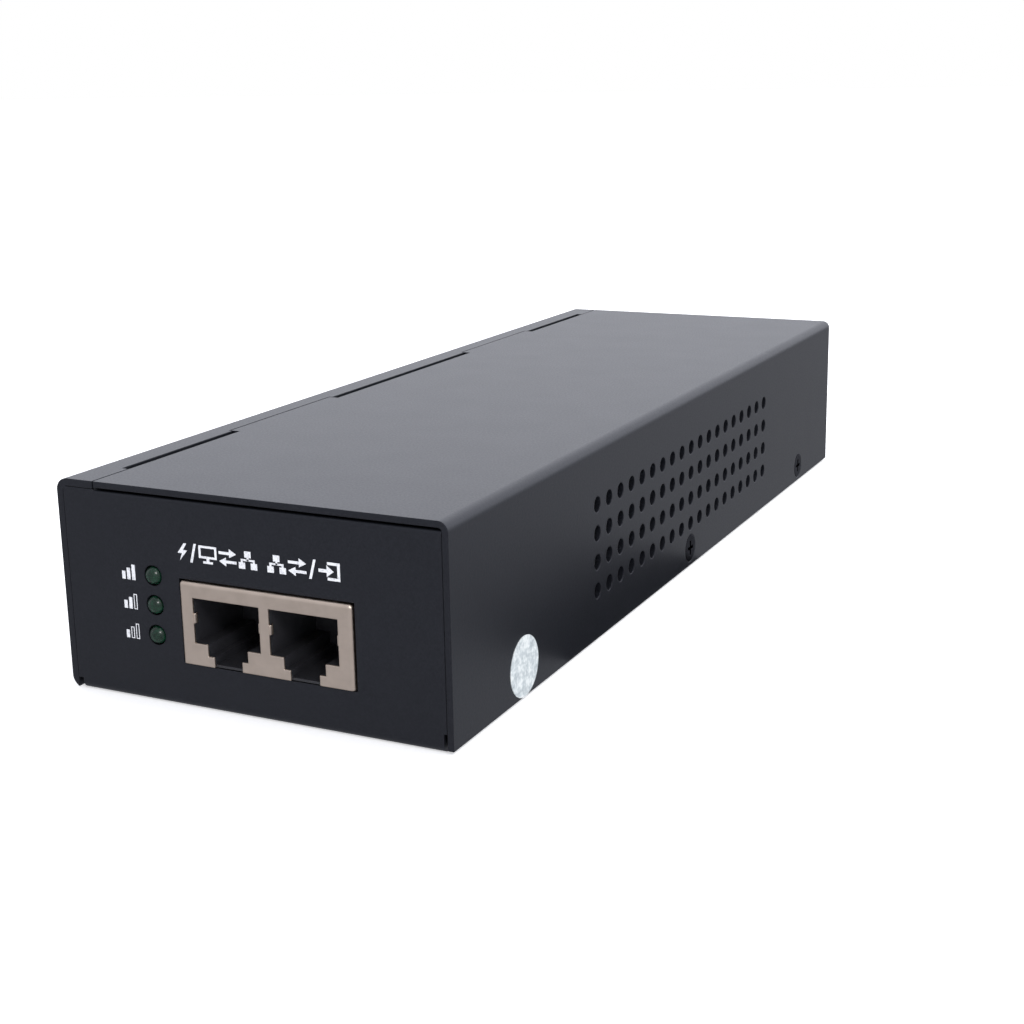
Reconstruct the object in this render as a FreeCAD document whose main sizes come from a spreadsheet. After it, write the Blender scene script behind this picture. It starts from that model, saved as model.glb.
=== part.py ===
import FreeCAD, Part
import math
import os
import Sketcher
from types import SimpleNamespace
from FreeCAD import Placement, Rotation, Vector

# A mid-span power injector for network cables, with its own mains supply, in a folded
# sheet-metal case.  Millimetres.  X runs across the front (the vented side is +X), Y runs
# from the front panel (-Y) to the mains inlet (+Y), Z is up and the case stands on Z = 0.

DIMENSIONS = {
    # case
    "width": 70.0,
    "depth": 200.0,
    "height": 35.0,
    "base_sheet": 1.2,
    "cover_sheet": 1.0,
    "base_bend": 2.0,
    "cover_bend": 1.6,
    "panel_bend": 1.2,
    "panel_gap": 0.1,
    "lid_gap": 0.45,
    "return_depth": 7.0,
    "return_bend": 0.4,
    "side_gap": 0.1,
    "lip_gap": 0.15,
    "lip_height": 9.0,
    "lip_setback": 3.0,
    "notch_width": 0.9,
    "notch_height": 1.8,
    "slit_width": 0.5,
    "slit_height": 3.0,
    "cover_foot": 0.5,
    "press_gap": 0.1,
    # stepped seam between the flange of the base and the cover
    "flange_width": 7.4,
    "seam_gap": 0.3,
    "open_gap": 1.5,
    "seam_end": 8.8,
    "hook_near": 27.7,
    "hook_far": 61.0,
    "hook_reach": 1.9,
    "tongue_reach": 2.8,
    "tongue_drop": 1.5,
    # vents
    "vent_radius": 1.4,
    "vent_pitch_along": 5.2,
    "vent_pitch_up": 5.1,
    "vent_bottom": 9.1,
    # cover screws and their clinch nuts
    "cover_screw_pitch": 75.0,
    "cover_screw_up": 4.0,
    "screw_head_radius": 2.7,
    "screw_head_depth": 1.2,
    "screw_shank_radius": 1.4,
    "screw_hole_radius": 1.7,
    "cover_screw_length": 6.0,
    "clinch_nut_radius": 2.2,
    "clinch_nut_length": 1.6,
    "cross_reach": 1.5,
    "cross_slot": 0.35,
    "cross_depth": 0.7,
    # labels
    "seal_radius": 5.0,
    "seal_up": 5.55,
    "seal_forward": 76.3,
    "label_thickness": 0.12,
    "label_width": 48.0,
    "label_length": 66.0,
    "label_centre": 42.0,
    "label_recess": 0.2,
    "label_margin": 0.4,
    # circuit board and what holds it
    "board_top": 7.5,
    "board_thickness": 1.6,
    "board_front": -98.4,
    "board_rear": 76.0,
    "board_width": 62.4,
    "board_centre": -0.5,
    "post_spread": 27.4,
    "post_front": -90.0,
    "post_middle": -8.0,
    "post_rear": 68.0,
    "post_radius": 2.6,
    "post_shank_radius": 2.0,
    "post_bore_radius": 1.5,
    "board_screw_radius": 1.2,
    "board_screw_head_radius": 2.75,
    "board_screw_head_height": 1.8,
    "board_screw_length": 6.0,
    "board_screw_hole_gap": 0.4,
    "insulator_thickness": 0.3,
    "lead_radius": 0.4,
    "lead_clearance": 0.2,
    "lead_tail": 1.1,
    # twin jack
    "jack_centre": 3.35,
    "jack_pitch": 13.9,
    "jack_width": 30.9,
    "jack_height": 13.3,
    "jack_depth": 16.0,
    "jack_proud": 0.4,
    "cutout_left_gap": 0.15,
    "cutout_right_gap": 0.35,
    "cutout_top_gap": 0.3,
    "cutout_bottom_gap": 0.2,
    "shield_sheet": 0.35,
    "shield_bend": 0.6,
    "moulding_gap": 0.1,
    "port_width": 12.2,
    "port_bottom": 3.5,
    "port_top": 10.85,
    "step_width": 7.4,
    "step_bottom": 1.6,
    "latch_width": 5.2,
    "latch_floor": 0.4,
    "port_depth": 12.5,
    "contact_pitch": 1.02,
    "contact_width": 0.45,
    "contact_thickness": 0.35,
    "contact_drop": 1.95,
    "contact_bend": 2.2,
    "contact_tip": 2.6,
    # lamps
    "lamp_side": -17.2,
    "lamp_low": 11.2,
    "lamp_middle": 16.1,
    "lamp_high": 20.9,
    "lamp_radius": 1.5,
    "lamp_length": 5.4,
    "lamp_proud": 0.9,
    "lamp_hole_radius": 1.65,
    "lamp_lead_spread": 1.27,
    "lamp_lead_radius": 0.25,
    "lamp_lead_hole": 0.45,
    "tower_half_width": 2.4,
    "tower_back": 2.4,
    "tower_panel_gap": 0.4,
    # mains inlet
    "inlet_up": 17.5,
    "inlet_flange_width": 50.0,
    "inlet_flange_height": 22.6,
    "inlet_flange_thickness": 2.5,
    "inlet_corner": 3.0,
    "inlet_body_width": 26.8,
    "inlet_body_height": 19.4,
    "inlet_body_depth": 14.0,
    "inlet_mouth_width": 24.0,
    "inlet_mouth_height": 16.4,
    "inlet_mouth_corner": 4.6,
    "inlet_mouth_depth": 15.0,
    "inlet_screw_spread": 20.0,
    "blade_width": 2.0,
    "blade_height": 4.0,
    "blade_spread": 7.0,
    "blade_offset": 2.0,
    "line_blade_reach": 10.5,
    "earth_blade_reach": 12.5,
    "blade_tab": 7.0,
    "inlet_gap": 0.3,
    "inlet_screw_length": 8.0,
    "inlet_nut_across": 5.5,
    "inlet_nut_height": 2.4,
    # earth bond and wires
    "earth_x": 24.0,
    "earth_y": 89.0,
    "earth_stud_radius": 2.0,
    "earth_stud_height": 8.0,
    "terminal_radius": 4.0,
    "terminal_thickness": 0.8,
    "terminal_neck": 3.2,
    "terminal_reach": 7.0,
    "barrel_reach": 10.0,
    "barrel_lift": 1.9,
    "barrel_radius": 1.8,
    "barrel_bore": 1.15,
    "barrel_length": 5.0,
    "earth_nut_across": 7.0,
    "earth_nut_height": 3.2,
    "wire_radius": 0.9,
    # heat sinks and what is screwed to them
    "sink_root": 23.0,
    "sink_back": 26.0,
    "sink_tip": 30.5,
    "sink_height": 22.0,
    "fin_thickness": 1.4,
    "device_width": 10.0,
    "device_thickness": 4.4,
    "device_low": 5.5,
    "device_high": 20.5,
    "device_case_high": 14.0,
    "device_plate": 1.3,
    "device_hole_up": 17.5,
    "device_hole_radius": 1.8,
    "device_leg_pitch": 2.54,
    # transformer
    "transformer_x": 4.0,
    "transformer_y": 14.0,
    "core_width": 26.0,
    "core_depth": 18.0,
    "core_height": 20.0,
    "core_leg": 4.0,
    "core_post": 8.0,
    "core_yoke": 3.0,
    "core_lift": 2.5,
    "rail_offset": 2.6,
    "flange_thickness": 1.0,
    "former_gap": 0.4,
}
VENT_COLUMNS, VENT_ROWS = 19, 4
CONTACTS = 8

doc = FreeCAD.newDocument("poe_injector")
sheet = doc.addObject("Spreadsheet::Sheet", "Sizes")
parts = {}
leads = []


class Size:
    """A length in millimetres, carried with the spreadsheet formula that gives it."""

    def __init__(self, value, formula):
        self.value = value
        self.formula = formula

    def __add__(self, other):
        other = size(other)
        return Size(self.value + other.value, f"({self.formula} + {other.formula})")

    def __sub__(self, other):
        other = size(other)
        return Size(self.value - other.value, f"({self.formula} - {other.formula})")

    def __rsub__(self, other):
        return size(other) - self

    def __mul__(self, factor):
        return Size(self.value * factor, f"({self.formula} * {factor})")

    def __truediv__(self, divisor):
        return Size(self.value / divisor, f"({self.formula} / {divisor})")

    def __neg__(self):
        return Size(-self.value, f"(0 - {self.formula})")

    __radd__ = __add__
    __rmul__ = __mul__


def size(value):
    return value if isinstance(value, Size) else Size(float(value), f"({float(value)})")


def fill_sheet():
    """Write the dimensions to the spreadsheet and return them as named sizes."""
    cells = {}
    for row, (name, value) in enumerate(DIMENSIONS.items(), start=1):
        sheet.set(f"A{row}", name)
        sheet.set(f"B{row}", str(value))
        sheet.setAlias(f"B{row}", name)
        cells[name] = Size(value, f"Sizes.{name}")
    doc.recompute()
    return SimpleNamespace(**cells)


S = fill_sheet()

HALF_WIDTH = S.width / 2
HALF_DEPTH = S.depth / 2
LIP_OUTER = HALF_WIDTH - S.cover_sheet - S.lip_gap
LIP_INNER = LIP_OUTER - S.base_sheet
WALL_INNER = S.base_sheet - HALF_WIDTH
FLANGE_UNDER = S.height - S.base_sheet
PANEL_LEFT = WALL_INNER + S.panel_gap
PANEL_RIGHT = HALF_WIDTH - S.cover_sheet - S.side_gap
PANEL_TOP = S.height - S.cover_sheet - S.lid_gap
PANEL_INNER = HALF_DEPTH - S.base_sheet
SEAM = S.flange_width - HALF_WIDTH
BOARD_BOTTOM = S.board_top - S.board_thickness
POST_COLUMNS = (S.board_centre - S.post_spread, S.board_centre + S.post_spread)
POST_ROWS = (S.post_front, S.post_middle, S.post_rear)
POSTS = [(x, y) for x in POST_COLUMNS for y in POST_ROWS]
COVER_SCREW_ROWS = (-S.cover_screw_pitch, size(0), S.cover_screw_pitch)
JACK_FRONT = -HALF_DEPTH - S.jack_proud
JACK_TOP = S.board_top + S.jack_height
WINDOW_WIDTH = (S.core_width - S.core_post) / 2 - S.core_leg
LAMP_SEAT = S.lamp_length - HALF_DEPTH - S.lamp_proud
LAMP_HEIGHTS = {"low": S.lamp_low, "middle": S.lamp_middle, "high": S.lamp_high}
TURNS = {
    "X": Rotation(Vector(0, 1, 0), 90),
    "-X": Rotation(Vector(0, 1, 0), -90),
    "Y": Rotation(Vector(1, 0, 0), -90),
    "-Y": Rotation(Vector(1, 0, 0), 90),
    "Z": Rotation(),
}


# ---------------------------------------------------------------- Part primitives and booleans


def bind(thing, **sizes):
    for name, value in sizes.items():
        thing.setExpression(name, size(value).formula)


def place(thing, x, y, z, axis="Z"):
    thing.Placement = Placement(Vector(), TURNS[axis])
    for letter, value in zip("xyz", (x, y, z)):
        thing.setExpression(f"Placement.Base.{letter}", size(value).formula)
    return thing


def box(name, x_range, y_range, z_range):
    """A box from the low to the high value of each range."""
    thing = doc.addObject("Part::Box", name)
    low = [size(pair[0]) for pair in (x_range, y_range, z_range)]
    high = [size(pair[1]) for pair in (x_range, y_range, z_range)]
    bind(thing, Length=high[0] - low[0], Width=high[1] - low[1], Height=high[2] - low[2])
    return place(thing, *low)


def block(name, x, y, z, length, width, height):
    """A box centred on x and y that stands on z."""
    length, width, height = size(length), size(width), size(height)
    x, y, z = size(x), size(y), size(z)
    return box(
        name,
        (x - length / 2, x + length / 2),
        (y - width / 2, y + width / 2),
        (z, z + height),
    )


def rod(name, x, y, z, radius, length, axis="Z"):
    thing = doc.addObject("Part::Cylinder", name)
    bind(thing, Radius=radius, Height=length)
    return place(thing, x, y, z, axis)


def cone(name, x, y, z, start_radius, end_radius, length, axis="Z"):
    thing = doc.addObject("Part::Cone", name)
    bind(thing, Radius1=start_radius, Radius2=end_radius, Height=length)
    return place(thing, x, y, z, axis)


def joined(name, *pieces):
    thing = doc.addObject("Part::MultiFuse", name)
    thing.Shapes = list(pieces)
    return thing


def grouped(name, pieces):
    thing = doc.addObject("Part::Compound", name)
    thing.Links = list(pieces)
    return thing


def cut(name, base, *tools):
    thing = doc.addObject("Part::Cut", name)
    thing.Base = base
    thing.Tool = tools[0] if len(tools) == 1 else grouped(f"{name}_tools", tools)
    return thing


def ring(name, x, y, z, outer, inner, length, axis="Z"):
    outside = rod(f"{name}_outside", x, y, z, outer, length, axis)
    inside = rod(f"{name}_inside", x, y, z, inner, length, axis)
    return cut(name, outside, inside)


def lead(name, x, y, top, radius=None):
    """A straight lead that goes down through its own hole in the board."""
    radius = radius or S.lead_radius
    leads.append((size(x), size(y), size(radius)))
    foot = BOARD_BOTTOM - S.lead_tail
    return rod(name, x, y, foot, radius, size(top) - foot)


def lead_row(name, x, y, top, count, pitch, along="X"):
    row = []
    for index in range(count):
        offset = (index - (count - 1) / 2) * pitch
        across = (size(x) + offset, y) if along == "X" else (x, size(y) + offset)
        row.append(lead(f"{name}_{index + 1}", *across, top))
    return row


# ---------------------------------------------------------------- sketched bodies


def new_body(name):
    body = doc.addObject("PartDesign::Body", name)
    body.AllowCompound = True
    return body


def new_sketch(body, name, plane, station):
    """A sketch on an origin plane of its own body, moved to a station along the plane's normal."""
    sketch = body.newObject("Sketcher::SketchObject", name)
    role = f"{plane}_Plane"
    support = [item for item in body.Origin.OriginFeatures if item.Role == role][0]
    sketch.AttachmentSupport = [(support, "")]
    sketch.MapMode = "FlatFace"
    station = size(station)
    offset = -station if plane == "XZ" else station
    sketch.setExpression("AttachmentOffset.Base.z", offset.formula)
    return sketch


def pin_point(sketch, name, geometry, point, x, y):
    for letter, kind, value in (("x", "DistanceX", size(x)), ("y", "DistanceY", size(y))):
        index = sketch.addConstraint(
            Sketcher.Constraint(kind, -1, 1, geometry, point, value.value)
        )
        sketch.renameConstraint(index, f"{letter}{name}")
        sketch.setExpression(f"Constraints.{letter}{name}", value.formula)


def draw_outline(sketch, points):
    """A closed chain of lines with every corner dimensioned from the origin."""
    points = [(size(x), size(y)) for x, y in points]
    first = sketch.GeometryCount
    count = len(points)
    for index, (x, y) in enumerate(points):
        next_x, next_y = points[(index + 1) % count]
        start = Vector(x.value, y.value, 0)
        end = Vector(next_x.value, next_y.value, 0)
        sketch.addGeometry(Part.LineSegment(start, end), False)
    for index in range(count):
        following = first + (index + 1) % count
        sketch.addConstraint(
            Sketcher.Constraint("Coincident", first + index, 2, following, 1)
        )
    for index, (x, y) in enumerate(points):
        pin_point(sketch, f"corner{first + index}", first + index, 1, x, y)


def draw_circle(sketch, x, y, radius):
    x, y, radius = size(x), size(y), size(radius)
    centre = Vector(x.value, y.value, 0)
    index = sketch.addGeometry(Part.Circle(centre, Vector(0, 0, 1), radius.value), False)
    pin_point(sketch, f"centre{index}", index, 3, x, y)
    constraint = sketch.addConstraint(Sketcher.Constraint("Radius", index, radius.value))
    sketch.renameConstraint(constraint, f"radius{index}")
    sketch.setExpression(f"Constraints.radius{index}", radius.formula)


def outline(body, name, plane, station, *polygons):
    sketch = new_sketch(body, name, plane, station)
    for points in polygons:
        draw_outline(sketch, points)
    return sketch


def circles(body, name, plane, station, spots):
    sketch = new_sketch(body, name, plane, station)
    for x, y, radius in spots:
        draw_circle(sketch, x, y, radius)
    return sketch


def rectangle(left, bottom, right, top):
    return [(left, bottom), (right, bottom), (right, top), (left, top)]


def pad(body, sketch, length, backwards=False):
    """Grow a sketch along its plane's normal (-Y for XZ, +Z for XY, +X for YZ), or backwards."""
    feature = body.newObject("PartDesign::Pad", f"{sketch.Name}_pad")
    feature.Profile = sketch
    feature.Reversed = backwards
    bind(feature, Length=length)
    sketch.Visibility = False
    doc.recompute()
    return feature


def pocket(body, sketch, length, forwards=False):
    """Cut a sketch against its plane's normal, or forwards along it."""
    before = body.Shape.Volume
    feature = body.newObject("PartDesign::Pocket", f"{sketch.Name}_cut")
    feature.Profile = sketch
    feature.Reversed = forwards
    bind(feature, Length=length)
    sketch.Visibility = False
    doc.recompute()
    if body.Shape.Volume >= before - 1e-6:
        raise ValueError(f"{feature.Name} cut nothing")
    return feature


def repeated(body, feature, sketch, axis, length, count):
    """Copies of a feature along the H_Axis or V_Axis of a sketch."""
    pattern = body.newObject("PartDesign::LinearPattern", f"{feature.Name}_row")
    pattern.Originals = [feature]
    pattern.Direction = (sketch, [axis])
    bind(pattern, Length=length)
    pattern.setExpression("Occurrences", size(count).formula)
    body.Tip = pattern
    doc.recompute()
    return pattern


def straight_edges(shape, axis, places):
    """Names of the straight edges along an axis that pass the given points of the cross plane."""
    along = "XYZ".index(axis)
    across = [index for index in range(3) if index != along]
    names = []
    for number, edge in enumerate(shape.Edges, start=1):
        if not isinstance(edge.Curve, Part.Line):
            continue
        start = edge.Vertexes[0].Point
        end = edge.Vertexes[-1].Point
        if any(abs(start[index] - end[index]) > 1e-6 for index in across):
            continue
        for spot in places:
            target = [size(value).value for value in spot]
            if all(abs(start[index] - value) < 1e-4 for index, value in zip(across, target)):
                names.append(f"Edge{number}")
    return names


def rounded(body, name, radius, axis, places, kind="Fillet"):
    names = straight_edges(body.Shape, axis, places)
    if not names:
        raise ValueError(f"{name} found no edges")
    feature = body.newObject(f"PartDesign::{kind}", name)
    feature.Base = (body.Tip if body.Tip != feature else feature.BaseFeature, names)
    bind(feature, **{"Radius" if kind == "Fillet" else "Size": radius})
    doc.recompute()
    if "Invalid" in feature.State:
        raise ValueError(f"{name} failed")
    return feature


# ---------------------------------------------------------------- case


def fold_profile():
    """Cross-section of the base sheet: inner lip, bottom, left wall and top flange."""
    return [
        (LIP_OUTER, 0),
        (LIP_OUTER, S.lip_height),
        (LIP_INNER, S.lip_height),
        (LIP_INNER, S.base_sheet),
        (WALL_INNER, S.base_sheet),
        (WALL_INNER, FLANGE_UNDER),
        (SEAM - S.seam_gap, FLANGE_UNDER),
        (SEAM - S.seam_gap, S.height),
        (-HALF_WIDTH, S.height),
        (-HALF_WIDTH, 0),
    ]


def seam_steps():
    """Plan of what is cut from the flange: three open stretches and two deeper hook places."""
    far = HALF_DEPTH - S.seam_end
    outside = SEAM + S.seam_gap
    open_edge = SEAM - S.open_gap
    hook_edge = SEAM - S.hook_reach - S.seam_gap
    front_half = [
        (outside, -far),
        (open_edge, -far),
        (open_edge, -S.hook_far),
        (hook_edge, -S.hook_far),
        (hook_edge, -S.hook_near),
        (open_edge, -S.hook_near),
    ]
    rear_half = [(x, -y) for x, y in reversed(front_half)]
    return front_half + rear_half


def vent_column(x_first):
    rows = range(VENT_ROWS)
    return [(x_first, S.vent_bottom + S.vent_pitch_up * row, S.vent_radius) for row in rows]


def cut_vents(body, station, forwards):
    span = S.vent_pitch_along * (VENT_COLUMNS - 1)
    sketch = circles(body, f"{body.Name}_vents", "YZ", station, vent_column(-span / 2))
    holes = pocket(body, sketch, S.base_sheet * 1.5, forwards)
    repeated(body, holes, sketch, "H_Axis", span, VENT_COLUMNS)


def port_outline(centre, floor):
    """The stepped opening of one socket, latch slot down, relative to the top of the board."""
    half_port = S.port_width / 2
    half_step = S.step_width / 2
    half_latch = S.latch_width / 2
    base = S.board_top
    right = [
        (centre + half_latch, base + floor),
        (centre + half_latch, base + S.step_bottom),
        (centre + half_step, base + S.step_bottom),
        (centre + half_step, base + S.port_bottom),
        (centre + half_port, base + S.port_bottom),
        (centre + half_port, base + S.port_top),
    ]
    left = [(centre * 2 - x, z) for x, z in reversed(right)]
    return right + left


def port_centres():
    return (S.jack_centre - S.jack_pitch / 2, S.jack_centre + S.jack_pitch / 2)


def base_chassis():
    body = new_body("base_chassis")
    pad(body, outline(body, "base_fold", "XZ", HALF_DEPTH, fold_profile()), S.depth)
    outer = [(-HALF_WIDTH, 0), (-HALF_WIDTH, S.height)]
    inner = [(WALL_INNER, S.base_sheet), (WALL_INNER, FLANGE_UNDER), (LIP_INNER, S.base_sheet)]
    rounded(body, "base_outer_bends", S.base_bend, "Y", outer)
    rounded(body, "base_inner_bends", S.base_bend - S.base_sheet, "Y", inner)
    cut_base_ends(body)
    add_panels(body)
    trim_panel_corners(body)
    bottom_edges = [(-HALF_DEPTH, 0), (HALF_DEPTH, 0)]
    rounded(body, "panel_bends", S.panel_bend, "X", bottom_edges)
    pocket(body, outline(body, "seam", "XY", S.height, seam_steps()), S.base_sheet * 1.5)
    cut_vents(body, -HALF_WIDTH, forwards=True)
    cut_front_openings(body)
    cut_rear_openings(body)
    cut_bottom_holes(body)
    cut_lip_holes(body)
    parts["base_chassis"] = body


def panel_outline():
    """The front or rear panel: full height under the flange, a little lower under the cover."""
    under_flange = FLANGE_UNDER - S.panel_gap
    return [
        (PANEL_LEFT, S.base_sheet / 2),
        (PANEL_RIGHT, S.base_sheet / 2),
        (PANEL_RIGHT, PANEL_TOP),
        (SEAM - S.seam_gap, PANEL_TOP),
        (SEAM - S.seam_gap, under_flange),
        (PANEL_LEFT, under_flange),
    ]


def add_panels(body):
    """Both panels, each with a return along its top edge that the cover lies over."""
    fold = rectangle(SEAM, PANEL_TOP - S.base_sheet, PANEL_RIGHT, PANEL_TOP)
    for side, station in (("front", -HALF_DEPTH), ("rear", HALF_DEPTH)):
        inwards = side == "front"
        panel = outline(body, f"{side}_panel", "XZ", station, panel_outline())
        pad(body, panel, S.base_sheet, backwards=inwards)
        sketch = outline(body, f"{side}_return", "XZ", station, fold)
        pad(body, sketch, S.return_depth, backwards=inwards)
    top_edges = [(-HALF_DEPTH, PANEL_TOP), (HALF_DEPTH, PANEL_TOP)]
    rounded(body, "return_bends", S.return_bend, "X", top_edges)


def cut_base_ends(body):
    """Set the inner lip back from both panels."""
    ends = []
    for sign in (-1, 1):
        near = (HALF_DEPTH - S.lip_setback) * sign
        far = (HALF_DEPTH + 1) * sign
        low, high = (near, far) if sign > 0 else (far, near)
        ends.append(rectangle(LIP_INNER - S.base_sheet, low, HALF_WIDTH, high))
    sketch = outline(body, "lip_ends", "XY", S.lip_height + 1, *ends)
    pocket(body, sketch, S.lip_height + 1 - S.base_sheet)


def trim_panel_corners(body):
    """Bend reliefs at the lower corners of both panels."""
    left = rectangle(WALL_INNER, -1, WALL_INNER + S.panel_gap + S.notch_width, S.notch_height)
    right = rectangle(PANEL_RIGHT - S.slit_width, -1, HALF_WIDTH, S.slit_height)
    depth = S.base_sheet + S.panel_bend
    for side, station in (("front", -HALF_DEPTH), ("rear", HALF_DEPTH)):
        sketch = outline(body, f"{side}_reliefs", "XZ", station, left, right)
        pocket(body, sketch, depth, forwards=side == "rear")


def cut_front_openings(body):
    half_jack = S.jack_width / 2
    sketch = outline(
        body,
        "jack_cutout",
        "XZ",
        -HALF_DEPTH,
        rectangle(
            S.jack_centre - half_jack - S.cutout_left_gap,
            S.board_top - S.cutout_bottom_gap,
            S.jack_centre + half_jack + S.cutout_right_gap,
            JACK_TOP + S.cutout_top_gap,
        ),
    )
    for height in LAMP_HEIGHTS.values():
        draw_circle(sketch, S.lamp_side, height, S.lamp_hole_radius)
    pocket(body, sketch, S.base_sheet * 1.5)


def cut_rear_openings(body):
    half_width = S.inlet_body_width / 2 + S.inlet_gap
    half_height = S.inlet_body_height / 2 + S.inlet_gap
    opening = rectangle(
        -half_width, S.inlet_up - half_height, half_width, S.inlet_up + half_height
    )
    sketch = outline(body, "inlet_cutout", "XZ", HALF_DEPTH, opening)
    for sign in (-1, 1):
        draw_circle(sketch, S.inlet_screw_spread * sign, S.inlet_up, S.screw_hole_radius)
    pocket(body, sketch, S.base_sheet * 1.5, forwards=True)


def cut_bottom_holes(body):
    """Press-in holes for the posts and the earth stud, and the shallow label panel."""
    hole = S.post_shank_radius + S.press_gap
    spots = [(x, y, hole) for x, y in POSTS]
    spots.append((S.earth_x, S.earth_y, S.earth_stud_radius + S.press_gap))
    sketch = circles(body, "post_holes", "XY", S.base_sheet, spots)
    pocket(body, sketch, S.base_sheet * 1.5)
    half_x = S.label_width / 2 + S.label_margin
    half_y = S.label_length / 2 + S.label_margin
    panel = rectangle(-half_x, S.label_centre - half_y, half_x, S.label_centre + half_y)
    pocket(body, outline(body, "label_panel", "XY", 0, panel), S.label_recess, forwards=True)


def cut_lip_holes(body):
    hole = S.screw_hole_radius + S.press_gap
    spots = [(y, S.cover_screw_up, hole) for y in COVER_SCREW_ROWS]
    sketch = circles(body, "lip_holes", "YZ", LIP_OUTER, spots)
    pocket(body, sketch, S.base_sheet * 1.5)


def top_cover():
    body = new_body("top_cover")
    under = S.height - S.cover_sheet
    inside = HALF_WIDTH - S.cover_sheet
    profile = [
        (SEAM, under),
        (inside, under),
        (inside, S.cover_foot),
        (HALF_WIDTH, S.cover_foot),
        (HALF_WIDTH, S.height),
        (SEAM, S.height),
    ]
    pad(body, outline(body, "cover_fold", "XZ", HALF_DEPTH, profile), S.depth)
    rounded(body, "cover_outer_bend", S.cover_bend, "Y", [(HALF_WIDTH, S.height)])
    inner_radius = S.cover_bend - S.cover_sheet
    rounded(body, "cover_inner_bend", inner_radius, "Y", [(inside, under)])
    for name, start in (("front", -S.hook_near), ("rear", S.hook_far)):
        sketch = outline(body, f"{name}_hook", "XZ", start - S.seam_gap, hook_profile())
        pad(body, sketch, S.hook_far - S.hook_near - S.seam_gap * 2)
    cut_vents(body, HALF_WIDTH, forwards=False)
    spots = [(y, S.cover_screw_up, S.screw_shank_radius + 0.5) for y in COVER_SCREW_ROWS]
    pocket(body, circles(body, "cover_holes", "YZ", HALF_WIDTH, spots), S.cover_sheet * 1.2)
    countersink(body)
    parts["top_cover"] = body


def hook_profile():
    """A tab level with the cover, stepped down to a tongue that goes under the flange."""
    tab_edge = SEAM - S.hook_reach
    under = S.height - S.cover_sheet
    tongue_top = under - S.tongue_drop + S.cover_sheet
    tongue_low = under - S.tongue_drop
    return [
        (SEAM, S.height),
        (tab_edge, S.height),
        (tab_edge, tongue_top),
        (tab_edge - S.tongue_reach, tongue_top),
        (tab_edge - S.tongue_reach, tongue_low),
        (tab_edge + S.cover_sheet, tongue_low),
        (tab_edge + S.cover_sheet, under),
        (SEAM, under),
    ]


def countersink(body):
    """Chamfer the outer rims of the three screw holes to seat the screw heads."""
    names = []
    for number, edge in enumerate(body.Shape.Edges, start=1):
        if not isinstance(edge.Curve, Part.Circle):
            continue
        centre = edge.Curve.Center
        level = abs(centre.z - S.cover_screw_up.value) < 1e-4
        outer = abs(centre.x - HALF_WIDTH.value) < 1e-4
        if level and outer:
            names.append(f"Edge{number}")
    feature = body.newObject("PartDesign::Chamfer", "countersinks")
    feature.Base = (feature.BaseFeature, names)
    bind(feature, Size=S.cover_sheet * 0.95)
    doc.recompute()


def flat_head_screw(name, x, y, z, length, axis):
    """Countersunk screw, head at the far end of its axis, with a cross recess."""
    head = cone(
        f"{name}_head", x, y, z, S.screw_head_radius, S.screw_shank_radius,
        S.screw_head_depth, axis,
    )
    shank = rod(f"{name}_shank", x, y, z, S.screw_shank_radius, length, axis)
    solid = joined(f"{name}_solid", head, shank)
    return cross_recessed(name, solid, x, y, z, axis)


def cross_recessed(name, solid, x, y, z, axis):
    """Cut a cross into the head of a screw that starts at the given point and runs along its axis."""
    along = axis[-1]
    centre = dict(zip("XYZ", (size(x), size(y), size(z))))
    face = centre[along]
    sunk = (face - S.cross_depth, face) if axis.startswith("-") else (face, face + S.cross_depth)
    bars = []
    for long_axis in "XYZ".replace(along, ""):
        spans = []
        for letter in "XYZ":
            half = S.cross_reach if letter == long_axis else S.cross_slot
            span = (centre[letter] - half, centre[letter] + half)
            spans.append(sunk if letter == along else span)
        bars.append(box(f"{name}_slot_{len(bars) + 1}", *spans))
    return cut(name, solid, *bars)


def cover_screws():
    screws = []
    for number, y in enumerate(COVER_SCREW_ROWS):
        name = f"cover_screw_{number + 1}"
        screws.append(
            flat_head_screw(
                name, HALF_WIDTH, y, S.cover_screw_up, S.cover_screw_length, "-X"
            )
        )
    parts["cover_screws"] = grouped("cover_screws", screws)


def clinch_nuts():
    start = LIP_INNER - S.clinch_nut_length
    nuts = [
        ring(
            f"clinch_nut_{number + 1}", start, y, S.cover_screw_up,
            S.clinch_nut_radius, S.screw_hole_radius, S.clinch_nut_length, "X",
        )
        for number, y in enumerate(COVER_SCREW_ROWS)
    ]
    parts["clinch_nuts"] = grouped("clinch_nuts", nuts)


def seal_label():
    """A round seal stuck over the foremost cover screw."""
    parts["seal_label"] = rod(
        "seal_label", HALF_WIDTH, -S.seal_forward, S.seal_up,
        S.seal_radius, S.label_thickness, "X",
    )


def rating_label():
    parts["rating_label"] = block(
        "rating_label", 0, S.label_centre, S.label_recess - S.label_thickness,
        S.label_width, S.label_length, S.label_thickness,
    )


# ---------------------------------------------------------------- board and fixings


def insulating_sheet():
    level = S.base_sheet
    margin, post_gap = 1.0, 0.5
    film = box(
        "film",
        (WALL_INNER + margin, LIP_INNER - S.clinch_nut_length - margin),
        (margin - PANEL_INNER, S.board_rear + margin * 2),
        (level, level + S.insulator_thickness),
    )
    hole = S.post_radius + post_gap
    holes = [
        rod(f"film_hole_{number + 1}", x, y, level, hole, S.insulator_thickness)
        for number, (x, y) in enumerate(POSTS)
    ]
    parts["insulating_sheet"] = cut("insulating_sheet", film, *holes)


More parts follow.
